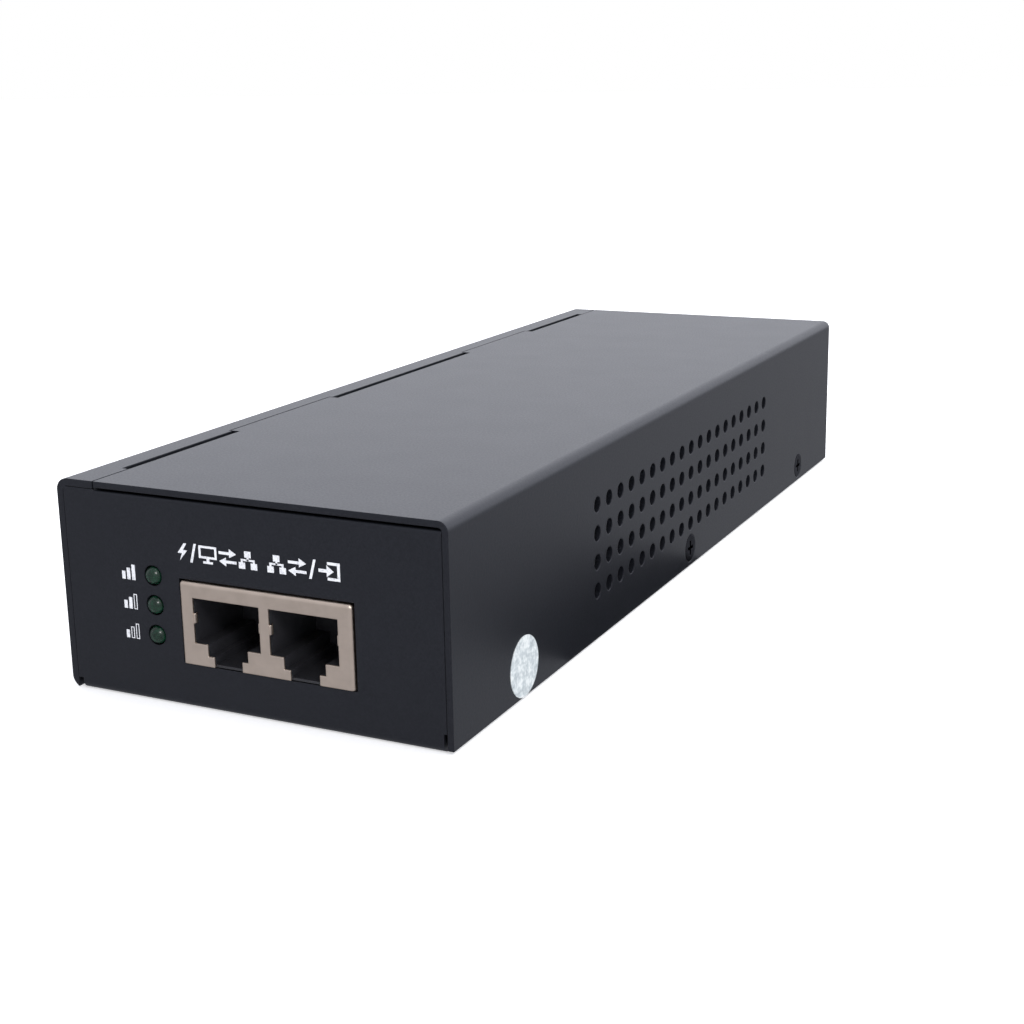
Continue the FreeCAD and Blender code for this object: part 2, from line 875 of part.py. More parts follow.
def board_posts():
    posts = []
    for number, (x, y) in enumerate(POSTS):
        name = f"post_{number + 1}"
        barrel = rod(
            f"{name}_barrel", x, y, S.base_sheet, S.post_radius, BOARD_BOTTOM - S.base_sheet
        )
        shank = rod(f"{name}_shank", x, y, S.press_gap, S.post_shank_radius, S.base_sheet)
        bore = rod(f"{name}_bore", x, y, S.base_sheet, S.post_bore_radius, S.board_top)
        posts.append(cut(name, joined(f"{name}_solid", barrel, shank), bore))
    parts["board_posts"] = grouped("board_posts", posts)


def board_screws():
    screws = []
    for number, (x, y) in enumerate(POSTS):
        name = f"board_screw_{number + 1}"
        top = S.board_top + S.board_screw_head_height
        head = rod(
            f"{name}_head", x, y, S.board_top, S.board_screw_head_radius,
            S.board_screw_head_height,
        )
        foot = S.board_top - S.board_screw_length + 1
        shank = rod(f"{name}_shank", x, y, foot, S.board_screw_radius, S.board_screw_length)
        solid = joined(f"{name}_solid", head, shank)
        screws.append(cross_recessed(name, solid, x, y, top - S.cross_depth, "Z"))
    parts["board_screws"] = grouped("board_screws", screws)


def main_board():
    """Made last, because every lead drills its own hole in it."""
    body = new_body("main_board")
    half = S.board_width / 2
    blank = rectangle(
        S.board_centre - half, S.board_front, S.board_centre + half, S.board_rear
    )
    sketch = outline(body, "board_blank", "XY", BOARD_BOTTOM, blank)
    for x, y in POSTS:
        draw_circle(sketch, x, y, S.board_screw_radius + S.board_screw_hole_gap)
    for x, y, radius in leads:
        draw_circle(sketch, x, y, radius + S.lead_clearance)
    pad(body, sketch, S.board_thickness)
    parts["main_board"] = body


# ---------------------------------------------------------------- front: jack and lamps


def jack_shield():
    body = new_body("jack_shield")
    half = S.jack_width / 2
    left, right = S.jack_centre - half, S.jack_centre + half
    thick = S.shield_sheet
    rear = JACK_FRONT + S.jack_depth
    face = rectangle(left, S.board_top, right, JACK_TOP)
    pad(body, outline(body, "shield_block", "XZ", JACK_FRONT, face), S.jack_depth, True)
    corners = [(left, JACK_FRONT), (right, JACK_FRONT)]
    rounded(body, "shield_corners", S.shield_bend, "Z", corners)
    rounded(body, "shield_brow", S.shield_bend, "X", [(JACK_FRONT, JACK_TOP)])
    inside = rectangle(left + thick, JACK_FRONT + thick, right - thick, rear - thick)
    sketch = outline(body, "shield_inside", "XY", S.board_top, inside)
    pocket(body, sketch, S.jack_height - thick, forwards=True)
    ports = [port_outline(centre, -0.5) for centre in port_centres()]
    pocket(body, outline(body, "shield_ports", "XZ", JACK_FRONT, *ports), thick * 1.4)
    parts["jack_shield"] = body


def jack_moulding():
    body = new_body("jack_moulding")
    half = S.jack_width / 2 - S.shield_sheet - S.moulding_gap
    front = JACK_FRONT + S.shield_sheet + S.moulding_gap / 2
    rear = JACK_FRONT + S.jack_depth - S.shield_sheet - S.moulding_gap
    top = JACK_TOP - S.shield_sheet - S.moulding_gap
    face = rectangle(S.jack_centre - half, S.board_top, S.jack_centre + half, top)
    pad(body, outline(body, "moulding_block", "XZ", front, face), rear - front, True)
    ports = [port_outline(centre, S.latch_floor) for centre in port_centres()]
    pocket(body, outline(body, "moulding_ports", "XZ", front, *ports), S.port_depth)
    parts["jack_moulding"] = body


def contact_profile():
    """Side view of one contact: along the roof of its socket, then bent back and down."""
    front = JACK_FRONT + S.shield_sheet + S.moulding_gap / 2
    rear = front + S.port_depth
    bend = front + S.contact_bend
    tip = front + S.port_depth - S.contact_tip
    roof = S.board_top + S.port_top
    thick = S.contact_thickness
    return [
        (rear, roof - thick),
        (rear, roof),
        (bend, roof),
        (bend - thick * 1.4, roof - thick),
        (bend - thick * 0.8, roof - thick * 2),
        (tip, roof - S.contact_drop - thick),
        (tip, roof - S.contact_drop),
        (bend + thick * 3.5, roof - thick * 1.5),
        (bend + thick * 3.5, roof - thick),
    ]


def jack_contacts():
    """Eight identical contacts in each socket."""
    body = new_body("jack_contacts")
    for number, centre in enumerate(port_centres()):
        first = centre - S.contact_pitch * (CONTACTS - 1) / 2 - S.contact_width / 2
        sketch = outline(body, f"contact_{number + 1}", "YZ", first, contact_profile())
        one = pad(body, sketch, S.contact_width)
        repeated(body, one, sketch, "N_Axis", S.contact_pitch * (CONTACTS - 1), CONTACTS)
    parts["jack_contacts"] = body


def lamps():
    """Three round lamps with domed lenses that look out of the front panel."""
    tip = -HALF_DEPTH - S.lamp_proud
    for level, height in LAMP_HEIGHTS.items():
        body = new_body(f"lamp_{level}")
        stem = circles(
            body, f"lamp_{level}_stem", "XZ", tip, [(S.lamp_side, height, S.lamp_radius)]
        )
        pad(body, stem, S.lamp_length, backwards=True)
        rims = [
            f"Edge{number}"
            for number, edge in enumerate(body.Shape.Edges, start=1)
            if isinstance(edge.Curve, Part.Circle)
            and abs(edge.Curve.Center.y - tip.value) < 1e-4
        ]
        dome = body.newObject("PartDesign::Fillet", f"lamp_{level}_dome")
        dome.Base = (dome.BaseFeature, rims)
        bind(dome, Radius=S.lamp_radius * 0.92)
        doc.recompute()
        parts[f"lamp_{level}"] = body


def lamp_tower():
    """Black spacer on the board that holds the lamps one above another."""
    front = S.tower_panel_gap - PANEL_INNER
    half = S.tower_half_width
    rear = LAMP_SEAT + S.tower_back
    tower = box(
        "tower_block",
        (S.lamp_side - half, S.lamp_side + half),
        (front, rear),
        (S.board_top, S.lamp_high + half),
    )
    bores = []
    for level, height in LAMP_HEIGHTS.items():
        bores.append(
            rod(f"tower_bore_{level}", S.lamp_side, front, height,
                S.lamp_radius + S.press_gap, LAMP_SEAT - front, "Y")
        )
        for side in (-1, 1):
            x = S.lamp_side + S.lamp_lead_spread * side
            bores.append(
                rod(f"tower_hole_{level}_{side + 1}", x, LAMP_SEAT, height,
                    S.lamp_lead_hole, S.tower_back, "Y")
            )
    parts["lamp_tower"] = cut("lamp_tower", tower, *bores)


def lamp_leads():
    """Two leads from each lamp, back through the tower and down into the board."""
    wires = []
    radius = S.lamp_lead_radius
    first_reach, step = 3.4, 1.6
    for number, (level, height) in enumerate(LAMP_HEIGHTS.items()):
        reach = first_reach + step * number
        for side in (-1, 1):
            x = S.lamp_side + S.lamp_lead_spread * side
            name = f"lamp_lead_{level}_{side + 1}"
            run = rod(f"{name}_run", x, LAMP_SEAT, height, radius, reach, "Y")
            down = lead(f"{name}_down", x, LAMP_SEAT + reach, height + radius, radius)
            wires.append(joined(name, run, down))
    parts["lamp_leads"] = grouped("lamp_leads", wires)


# ---------------------------------------------------------------- rear: mains inlet


INLET_FACE = HALF_DEPTH + S.inlet_flange_thickness
INLET_FLOOR = INLET_FACE - S.inlet_mouth_depth
INLET_REAR = HALF_DEPTH - S.inlet_body_depth
BLADES = {
    "line": (S.blade_spread, S.inlet_up - S.blade_offset, S.line_blade_reach),
    "neutral": (-S.blade_spread, S.inlet_up - S.blade_offset, S.line_blade_reach),
    "earth": (size(0), S.inlet_up + S.blade_offset, S.earth_blade_reach),
}


def inlet_mouth():
    """The three-pin mouth, with its two upper corners cut off."""
    half_width = S.inlet_mouth_width / 2
    half_height = S.inlet_mouth_height / 2
    low, high = S.inlet_up - half_height, S.inlet_up + half_height
    corner = S.inlet_mouth_corner
    return [
        (-half_width, low),
        (half_width, low),
        (half_width, high - corner),
        (half_width - corner, high),
        (corner - half_width, high),
        (-half_width, high - corner),
    ]


def inlet_housing():
    body = new_body("inlet_housing")
    half_width = S.inlet_flange_width / 2
    half_height = S.inlet_flange_height / 2
    low, high = S.inlet_up - half_height, S.inlet_up + half_height
    flange = rectangle(-half_width, low, half_width, high)
    sketch = outline(body, "inlet_flange", "XZ", INLET_FACE, flange)
    pad(body, sketch, S.inlet_flange_thickness)
    corners = [(x, z) for x in (-half_width, half_width) for z in (low, high)]
    rounded(body, "inlet_corners", S.inlet_corner, "Y", corners)
    half_body = S.inlet_body_width / 2
    half_tall = S.inlet_body_height / 2
    trunk = rectangle(
        -half_body, S.inlet_up - half_tall, half_body, S.inlet_up + half_tall
    )
    pad(body, outline(body, "inlet_trunk", "XZ", HALF_DEPTH, trunk), S.inlet_body_depth)
    mouth = outline(body, "inlet_mouth", "XZ", INLET_FACE, inlet_mouth())
    pocket(body, mouth, S.inlet_mouth_depth, forwards=True)
    slots = [blade_section(x, z) for x, z, _ in BLADES.values()]
    sketch = outline(body, "blade_slots", "XZ", INLET_FLOOR, *slots)
    pocket(body, sketch, S.inlet_body_depth, forwards=True)
    gap = S.press_gap * 1.5
    sinks = [
        cone(f"inlet_sink_{sign + 1}", S.inlet_screw_spread * sign, INLET_FACE, S.inlet_up,
             S.screw_head_radius + gap, S.screw_shank_radius + gap,
             S.screw_head_depth, "-Y")
        for sign in (-1, 1)
    ]
    holes = [
        rod(f"inlet_hole_{sign + 1}", S.inlet_screw_spread * sign, INLET_FACE, S.inlet_up,
            S.screw_shank_radius + gap, S.inlet_flange_thickness, "-Y")
        for sign in (-1, 1)
    ]
    body.Label = "inlet_moulding"
    parts["inlet_housing"] = cut("inlet_housing_drilled", body, *sinks, *holes)


def blade_section(x, z):
    half_width = S.blade_width / 2
    half_height = S.blade_height / 2
    return rectangle(x - half_width, z - half_height, x + half_width, z + half_height)


def inlet_blades():
    """Identical line and neutral blades in one node, and the longer earth blade."""
    blades = {}
    for name, (x, z, reach) in BLADES.items():
        blade = new_body(f"{name}_blade")
        start = INLET_FLOOR + reach
        sketch = outline(blade, f"{name}_blade_section", "XZ", start, blade_section(x, z))
        pad(blade, sketch, start - INLET_REAR + S.blade_tab)
        blades[name] = blade
    parts["live_blades"] = grouped("live_blades", [blades["line"], blades["neutral"]])
    parts["earth_blade"] = blades["earth"]


def inlet_screws():
    screws = [
        flat_head_screw(
            f"inlet_screw_{sign + 1}", S.inlet_screw_spread * sign, INLET_FACE, S.inlet_up,
            S.inlet_screw_length, "-Y",
        )
        for sign in (-1, 1)
    ]
    parts["inlet_screws"] = grouped("inlet_screws", screws)


def hexagon_nut(name, x, y, z, across, height, bore, axis):
    """A hexagon nut that starts at the given point and runs along its axis."""
    body = new_body(f"{name}_hexagon")
    radius = size(across) / math.sqrt(3)
    turns = [math.radians(60 * index) for index in range(6)]
    points = [(radius * math.cos(turn), radius * math.sin(turn)) for turn in turns]
    sketch = outline(body, f"{name}_outline", "XY", 0, points)
    draw_circle(sketch, 0, 0, bore)
    pad(body, sketch, height)
    return place(body, x, y, z, axis)


def inlet_nuts():
    nuts = [
        hexagon_nut(f"inlet_nut_{sign + 1}", S.inlet_screw_spread * sign, PANEL_INNER,
                    S.inlet_up, S.inlet_nut_across, S.inlet_nut_height,
                    S.screw_shank_radius + S.press_gap, "-Y")
        for sign in (-1, 1)
    ]
    parts["inlet_nuts"] = grouped("inlet_nuts", nuts)


# ---------------------------------------------------------------- earth bond and wires


def earth_bond():
    """A press-in stud, the ring terminal of the earth wire and a nut."""
    x, y, level = S.earth_x, S.earth_y, S.base_sheet
    thick = S.terminal_thickness
    bore = S.earth_stud_radius + S.press_gap
    parts["earth_stud"] = rod(
        "earth_stud", x, y, S.press_gap, S.earth_stud_radius - S.press_gap, S.earth_stud_height
    )
    plate = rod("terminal_plate", x, y, level, S.terminal_radius, thick)
    half_neck = S.terminal_neck / 2
    neck = box("terminal_neck", (x - half_neck, x + half_neck), (y - S.terminal_reach, y),
               (level, level + thick))
    hole = rod("terminal_hole", x, y, level, bore, thick)
    barrel = ring("terminal_barrel", x, y - S.barrel_reach, level + S.barrel_lift,
                  S.barrel_radius, S.barrel_bore, S.barrel_length, "Y")
    drilled = cut("terminal_drilled", joined("terminal_flat", plate, neck), hole)
    parts["earth_terminal"] = joined("earth_terminal", drilled, barrel)
    parts["earth_nut"] = hexagon_nut(
        "earth_nut", x, y, level + thick, S.earth_nut_across, S.earth_nut_height, bore, "Z"
    )


def wire_path(points):
    """Straight runs joined by tangent arcs as large as the runs allow."""
    points = [Vector(*point) for point in points]
    edges = []
    start = points[0]
    for before, corner, after in zip(points, points[1:], points[2:]):
        inward = (before - corner).normalize()
        outward = (after - corner).normalize()
        shorter = min((before - corner).Length, (after - corner).Length)
        trim = 0.45 * shorter
        turn = math.pi - inward.getAngle(outward)
        radius = trim / math.tan(turn / 2)
        first = corner + inward * trim
        last = corner + outward * trim
        bisector = (inward + outward).normalize()
        centre = corner + bisector * math.hypot(radius, trim)
        middle = centre - bisector * radius
        edges.append(Part.LineSegment(start, first).toShape())
        edges.append(Part.Arc(first, middle, last).toShape())
        start = last
    edges.append(Part.LineSegment(start, points[-1]).toShape())
    return Part.Wire(edges)


def wire(name, radius, points):
    path = wire_path(points)
    direction = Vector(*points[1]) - Vector(*points[0])
    section = Part.Wire([Part.Circle(Vector(*points[0]), direction, radius).toShape()])
    feature = doc.addObject("Part::Feature", name)
    feature.Shape = path.makePipeShell([section], True, False)
    feature.Placement = Placement()
    parts[name] = feature
    expected = math.pi * radius**2 * path.Length
    if abs(feature.Shape.Volume - expected) > 0.02 * expected:
        raise ValueError(f"{name} has the wrong volume")


def inlet_wires():
    """Line and neutral drop into the board; earth loops over to its stud."""
    radius = S.wire_radius.value
    tab_end = (INLET_REAR - S.blade_tab).value
    top = S.board_top.value
    for name in ("line", "neutral"):
        x, z, _ = BLADES[name]
        run = tab_end - 7
        wire(f"{name}_wire", radius, [
            (x.value, tab_end, z.value),
            (x.value, run, z.value),
            (x.value, run, top),
        ])
    x, z, _ = BLADES["earth"]
    end_x = S.earth_x.value
    barrel_y = (S.earth_y - S.barrel_reach).value
    barrel_z = (S.base_sheet + S.barrel_lift).value
    wire("earth_wire", radius, [
        (x.value, tab_end, z.value),
        (x.value, tab_end - 5, z.value),
        (x.value + 8, tab_end - 6.5, z.value + 1),
        (x.value + 15.5, tab_end - 5, z.value - 1),
        (end_x - 1.5, tab_end - 2.5, z.value - 5.5),
        (end_x, barrel_y - 2 * radius, barrel_z + 6),
        (end_x, barrel_y - 2 * radius, barrel_z),
        (end_x, barrel_y + 4, barrel_z),
    ])


# ---------------------------------------------------------------- mains side of the board


def disc_part(name, x, y, radius, thickness, gap, along="X"):
    """A dipped disc on two leads, standing on edge."""
    x, y = size(x), size(y)
    stand_off = 1.6
    centre = S.board_top + stand_off + radius
    if along == "X":
        disc = rod(f"{name}_disc", x, y - thickness / 2, centre, radius, thickness, "Y")
    else:
        disc = rod(f"{name}_disc", x - thickness / 2, y, centre, radius, thickness, "X")
    pins = lead_row(f"{name}_lead", x, y, centre - radius * 0.4, 2, gap, along)
    return joined(name, disc, *pins)


def fuse():
    """A cartridge fuse in two spring clips."""
    x, y, level = size(14), size(62), S.board_top + 4
    length, cap_length, cap_radius, tube_radius = 20, 5, 2.6, 2.4
    tube_length = length - 2 * cap_length
    left = x - length / 2
    parts["fuse_tube"] = rod(
        "fuse_tube", left + cap_length, y, level, tube_radius, tube_length, "X"
    )
    starts = (left, left + length - cap_length)
    caps = [
        rod(f"fuse_cap_{number + 1}", start, y, level, cap_radius, cap_length, "X")
        for number, start in enumerate(starts)
    ]
    parts["fuse_caps"] = grouped("fuse_caps", caps)
    clips = [
        fuse_clip(f"fuse_clip_{number + 1}", start + 1, y, level + 2)
        for number, start in enumerate(starts)
    ]
    parts["fuse_clips"] = grouped("fuse_clips", clips)


def fuse_clip(name, start, y, top):
    """A U-shaped clip with one pin through the board."""
    width, half_inner, sheet_metal, pin_radius = 3, 2.75, 0.45, 0.5
    half_outer = half_inner + sheet_metal
    floor = S.board_top + sheet_metal
    outer = box(f"{name}_outer", (start, start + width), (y - half_outer, y + half_outer),
                (S.board_top, top))
    gap = box(f"{name}_gap", (start, start + width), (y - half_inner, y + half_inner),
              (floor, top))
    cradle = cut(f"{name}_cradle", outer, gap)
    pin = lead(f"{name}_pin", start + width / 2, y, floor - 0.1, pin_radius)
    return joined(name, cradle, pin)


def film_capacitor():
    x, y = -18, 54
    length, width, height, lead_gap = 18, 8.5, 14, 15
    case = block("film_capacitor_case", x, y, S.board_top + 0.2, length, width, height)
    pins = lead_row("film_capacitor_lead", x, y, S.board_top + 1, 2, lead_gap)
    parts["film_capacitor"] = joined("film_capacitor", case, *pins)


def line_choke():
    """A ring core standing on edge, with one winding on each half."""
    x, y, level = size(8), size(50), S.board_top + 12.3
    outer, inner, width, wrap = 9.5, 5.5, 8.0, 1.5
    clear, split, lead_radius = 0.15, 4.4, 0.45
    parts["choke_core"] = ring(
        "choke_core", x, y - width / 2, level, outer, inner, width, "Y"
    )
    sleeve = ring("choke_sleeve", x, y - width / 2 - wrap, level, outer + wrap, inner - wrap,
                  width + 2 * wrap, "Y")
    bore = ring("choke_bore", x, y - width / 2 - clear, level, outer + clear, inner - clear,
                width + 2 * clear, "Y")
    wound = cut("choke_wound", sleeve, bore)
    gap = block("choke_split", x, y, S.board_top, split, width + 4 * wrap, 3 * outer)
    halves = cut("choke_halves", wound, gap)
    stilt_x, stilt_y, stilt_top = 5, 4.7, S.board_top + 4.6
    stilts = [
        lead(f"choke_lead_{side_x + 1}_{side_y + 1}", x + side_x * stilt_x,
             y + side_y * stilt_y, stilt_top, lead_radius)
        for side_x in (-1, 1) for side_y in (-1, 1)
    ]
    parts["choke_windings"] = joined("choke_windings", halves, *stilts)


def bridge_rectifier():
    """A flat four-legged block with a hole for a fixing screw."""
    x, y = size(-19), size(42)
    length, thickness, height, stand_off = 20, 3.6, 15, 3.5
    hole_up, hole_radius, lead_gap = 14.5, 1.7, 5.08
    case = block("bridge_case", x, y, S.board_top + stand_off, length, thickness, height)
    hole = rod("bridge_hole", x, y - thickness, S.board_top + hole_up, hole_radius,
               2 * thickness, "Y")
    pins = lead_row("bridge_lead", x, y, S.board_top + stand_off + 1.5, 4, lead_gap)
    drilled = cut("bridge_drilled", case, hole)
    parts["bridge_rectifier"] = joined("bridge_rectifier", drilled, *pins)


def bulk_capacitor():
    """The large electrolytic, lying along the board with a rolled groove near its leads."""
    x, radius, length, start = size(-21), 9.0, 33.0, 2.0
    groove_back, groove_width, groove_depth = 4.0, 1.2, 0.6
    bung_radius, bung_proud, lead_spread = 7.0, 0.4, 5.0
    level = S.board_top + radius + 0.3
    end = start + length
    can = rod("bulk_can", x, start, level, radius, length, "Y")
    groove = ring("bulk_groove", x, end - groove_back, level, radius + 1,
                  radius - groove_depth, groove_width, "Y")
    bung = rod("bulk_bung", x, end, level, bung_radius, bung_proud, "Y")
    grooved = cut("bulk_grooved", can, groove)
    pins = []
    for number, side in enumerate((-1, 1)):
        lead_x = x + lead_spread * side
        run = rod(f"bulk_run_{number + 1}", lead_x, end - 1, level, S.lead_radius, 3, "Y")
        down = lead(f"bulk_lead_{number + 1}", lead_x, end + 2, level + S.lead_radius)
        pins.extend((run, down))
    parts["bulk_capacitor"] = joined("bulk_capacitor", grooved, bung, *pins)


def heat_sink(name, y_range, fins):
    """A finned plate along the vented side."""
    body = new_body(name)
    low, high = y_range
    thick = S.fin_thickness
    pitch = (high - low - thick) / (fins - 1)
    comb = []
    for index in range(fins):
        start = low + pitch * index
        comb.extend([
            (S.sink_back, start),
            (S.sink_tip, start),
            (S.sink_tip, start + thick),
            (S.sink_back, start + thick),
        ])
    profile = [(S.sink_root, low), *comb[1:-1], (S.sink_root, high)]
    sketch = outline(body, f"{name}_section", "XY", S.board_top + 0.2, profile)
    pad(body, sketch, S.sink_height)
    parts[name] = body


def power_device(name, y, face):
    """A three-legged power device screwed flat against the plate that starts at face."""
    low, high = S.board_top + S.device_low, S.board_top + S.device_high
    case_high, screw_up = S.board_top + S.device_case_high, S.board_top + S.device_hole_up
    back, half = face - S.device_plate, S.device_width / 2
    width = (y - half, y + half)
    plate = box(f"{name}_plate", (back, face), width, (low, high))
    case = box(f"{name}_case", (face - S.device_thickness, back + 0.3), width, (low, case_high))
    hole = rod(f"{name}_hole", back, y, screw_up, S.device_hole_radius, S.device_plate, "X")
    legs = lead_row(f"{name}_leg", back * 2 - face, y, low + 0.5, 3, S.device_leg_pitch, "Y")
    drilled = cut(f"{name}_drilled", plate, hole)
    parts[name] = joined(name, drilled, case, *legs)
    head_radius, head_height = 2.6, 2.0
    return rod(f"{name}_screw_head", back - head_height, y, screw_up, head_radius,
               head_height, "X")


# ---------------------------------------------------------------- transformer


def transformer_core():
    """Two E halves that meet in the middle of the legs."""
    body = new_body("transformer_core")
    x, low = S.transformer_x, S.board_top + S.core_lift
    half, half_post = S.core_width / 2, S.core_post / 2
    face = rectangle(x - half, low, x + half, low + S.core_height)
    sill, head = low + S.core_yoke, low + S.core_height - S.core_yoke
    windows = [
        rectangle(x - half + S.core_leg, sill, x - half_post, head),
        rectangle(x + half_post, sill, x + half - S.core_leg, head),
    ]
    start = S.transformer_y + S.core_depth / 2
    pad(body, outline(body, "core_face", "XZ", start, face, *windows), S.core_depth)
    parts["transformer_core"] = body


def former_ring(name, low, height, reach, wall):
    """A rectangular collar round the middle post."""
    x, y = S.transformer_x, S.transformer_y
    inner_x, inner_y = S.core_post + S.former_gap, S.core_depth + S.former_gap
    outer = block(f"{name}_outer", x, y, low, inner_x + reach * 2, inner_y + reach * 2, height)
    inner = block(f"{name}_inner", x, y, low, inner_x + wall * 2, inner_y + wall * 2, height)
    return cut(name, outer, inner)


def rail_rows():
    offset = S.core_depth / 2 + S.rail_offset
    return ((0, S.transformer_y - offset), (2, S.transformer_y + offset))


def transformer_former():
    """The plastic former: a tube with two flanges and a pin rail at each end."""
    low = S.board_top + S.core_lift + S.core_yoke + S.former_gap / 2
    height = S.core_height - S.core_yoke * 2 - S.former_gap
    reach = WINDOW_WIDTH - S.former_gap
    tube_wall, rail_length, rail_width = 0.8, 24, 3.8
    thick = S.flange_thickness
    tube = former_ring("former_tube", low, height, tube_wall, 0)
    foot = former_ring("former_foot", low, thick, reach, 0)
    head = former_ring("former_head", low + height - thick, thick, reach, 0)
    rails = [
        block(f"former_rail_{number}", S.transformer_x, y, S.board_top + 0.2,
              rail_length, rail_width, S.core_lift + S.core_yoke + thick / 2)
        for number, y in rail_rows()
    ]
    parts["transformer_former"] = joined("transformer_former", tube, foot, head, *rails)


def transformer_winding():
    """The coil between the flanges of the former."""
    inset = S.former_gap / 2 + S.flange_thickness + 0.2
    low = S.board_top + S.core_lift + S.core_yoke + inset
    height = S.core_height - S.core_yoke * 2 - inset * 2
    parts["transformer_winding"] = former_ring(
        "transformer_winding", low, height, WINDOW_WIDTH - S.former_gap * 2, 0.95
    )


def transformer_pins():
    pins_each, pin_pitch = 5, 4
    pins = []
    for number, y in rail_rows():
        row = lead_row(f"transformer_pin_{number}", S.transformer_x, y, S.board_top + 0.2,
                       pins_each, pin_pitch)
        pins.extend(row)
    parts["transformer_pins"] = grouped("transformer_pins", pins)


# ---------------------------------------------------------------- output side of the board


def small_can(name, x, y, radius, height):
    """An upright electrolytic with a groove near its foot."""
    base = S.board_top + 0.2
    groove_up, groove_width, groove_depth, lead_gap = 2, 0.8, 0.35, 5
    can = rod(f"{name}_can", x, y, base, radius, height)
    groove = ring(f"{name}_groove", x, y, base + groove_up, radius + 1,
                  radius - groove_depth, groove_width)
    grooved = cut(f"{name}_grooved", can, groove)
    pins = lead_row(f"{name}_lead", x, y, base + 0.5, 2, lead_gap)
    parts[name] = joined(name, grooved, *pins)


def output_choke():
    """A drum core with its winding between the two cheeks."""
    x, y, base = size(4), size(-25), S.board_top + 0.2
    height, cheek, cheek_radius, post_radius, clear = 13, 1.8, 7, 3, 0.2
    post = rod("drum_post", x, y, base, post_radius, height)
    cheeks = [
        rod(f"drum_cheek_{number + 1}", x, y, base + start, cheek_radius, cheek)
        for number, start in enumerate((0, height - cheek))
    ]
    pins = lead_row("drum_lead", x, y, base + 0.5, 2, 8)
    parts["output_choke_core"] = joined("output_choke_core", post, *cheeks, *pins)
    parts["output_choke_winding"] = ring(
        "output_choke_winding", x, y, base + cheek + clear, cheek_radius - 1,
        post_radius + clear, height - 2 * (cheek + clear)
    )


def flat_chip(name, x, y, length, width, height, count, pitch):
    """A flat package with a row of short leads down each long side."""
    x, y = size(x), size(y)
    body = block(f"{name}_body", x, y, S.board_top + 0.15, length, width, height)
    foot_length, foot_offset = 1.2, width / 2 + 0.4
    feet = []
    for side in (-1, 1):
        for index in range(count):
            across = x + (index - (count - 1) / 2) * pitch
            feet.append(
                block(f"{name}_foot_{side + 1}_{index}", across, y + side * foot_offset,
                      S.board_top, pitch * 0.4, foot_length, height * 0.4)
            )
    return joined(name, body, *feet)


def chips():
    parts["power_controller"] = flat_chip("power_controller", 4, -46, 10, 7, 1.6, 8, 1.2)
    parts["supply_controller"] = flat_chip("supply_controller", -6, -9, 5, 4, 1.5, 4, 1.27)
    parts["optocoupler"] = flat_chip("optocoupler", 6, -8, 4.8, 6.4, 3.2, 2, 2.54)
    coupled = [
        flat_chip(f"lan_transformer_{number + 1}", x, -72, 15.5, 9.5, 5.6, 10, 1.4)
        for number, x in enumerate((-5.5, 12.5))
    ]
    parts["lan_transformers"] = grouped("lan_transformers", coupled)


def surface_parts():
    """Small resistors and capacitors round the controllers."""
    spots = [(-8 + 3.2 * column, -53 - 3.4 * row) for column in range(7) for row in range(3)]
    spots += [(-16 + 3 * column, -12) for column in range(2)]
    small = [
        block(f"surface_part_{number + 1}", x, y, S.board_top, 2.0, 1.25, 0.6)
        for number, (x, y) in enumerate(spots)
    ]
    parts["surface_parts"] = grouped("surface_parts", small)


def filter_inductor():
    """A shielded drum on a square base."""
    x, y = -22, -62
    side, base_height, drum_radius, drum_height = 12, 1.2, 5.6, 4.6
    base = block("filter_base", x, y, S.board_top, side, side, base_height)
    drum = rod("filter_drum", x, y, S.board_top + base_height, drum_radius, drum_height)
    parts["filter_inductor"] = joined("filter_inductor", base, drum)


def power_section():
    parts["varistor"] = disc_part("varistor", -5, 62, 5.0, 4.0, 7.5)
    parts["thermistor"] = disc_part("thermistor", -19, 64, 4.5, 3.6, 5.0)
    bridging = [
        disc_part("safety_capacitor_1", 27, 54, 4.0, 2.8, 7.5, along="Y"),
        disc_part("safety_capacitor_2", -14, -4, 4.0, 2.8, 7.5),
    ]
    parts["safety_capacitors"] = grouped("safety_capacitors", bridging)
    fuse()
    film_capacitor()
    line_choke()
    bridge_rectifier()
    bulk_capacitor()
    heat_sink("primary_heat_sink", (3.0, 43.0), 7)
    heat_sink("output_heat_sink", (-50.0, -15.0), 6)
    screws = [
        power_device("switching_transistor", size(36), S.sink_root),
        power_device("output_diode", size(-26), S.sink_root),
    ]
    parts["device_screws"] = grouped("device_screws", screws)


def output_section():
    for number, (x, y) in enumerate(((-25, -21), (-13, -21), (-25, -34))):
        small_can(f"output_capacitor_{number + 1}", x, y, 5.0, 20.0)
    output_choke()
    chips()
    filter_inductor()
    surface_parts()


# ---------------------------------------------------------------- build, check and write


def build():
    base_chassis()
    top_cover()
    cover_screws()
    clinch_nuts()
    seal_label()
    rating_label()
    insulating_sheet()
    board_posts()
    board_screws()
    jack_shield()
    jack_moulding()
    jack_contacts()
    lamps()
    lamp_tower()
    lamp_leads()
    inlet_housing()
    inlet_blades()
    inlet_screws()
    inlet_nuts()
    earth_bond()
    inlet_wires()
    power_section()
    transformer_core()
    transformer_former()
    transformer_winding()
    transformer_pins()
    output_section()
    main_board()


def check():
    doc.recompute()
    for item in doc.Objects:
        if "Invalid" in item.State or "Error" in item.State:
            raise ValueError(f"{item.Name} is {item.State}")
    for name, item in parts.items():
        item.Label = name
        if item.Shape.isNull() or not item.Shape.isValid() or not item.Shape.Solids:
            raise ValueError(f"{name} has no valid solid")


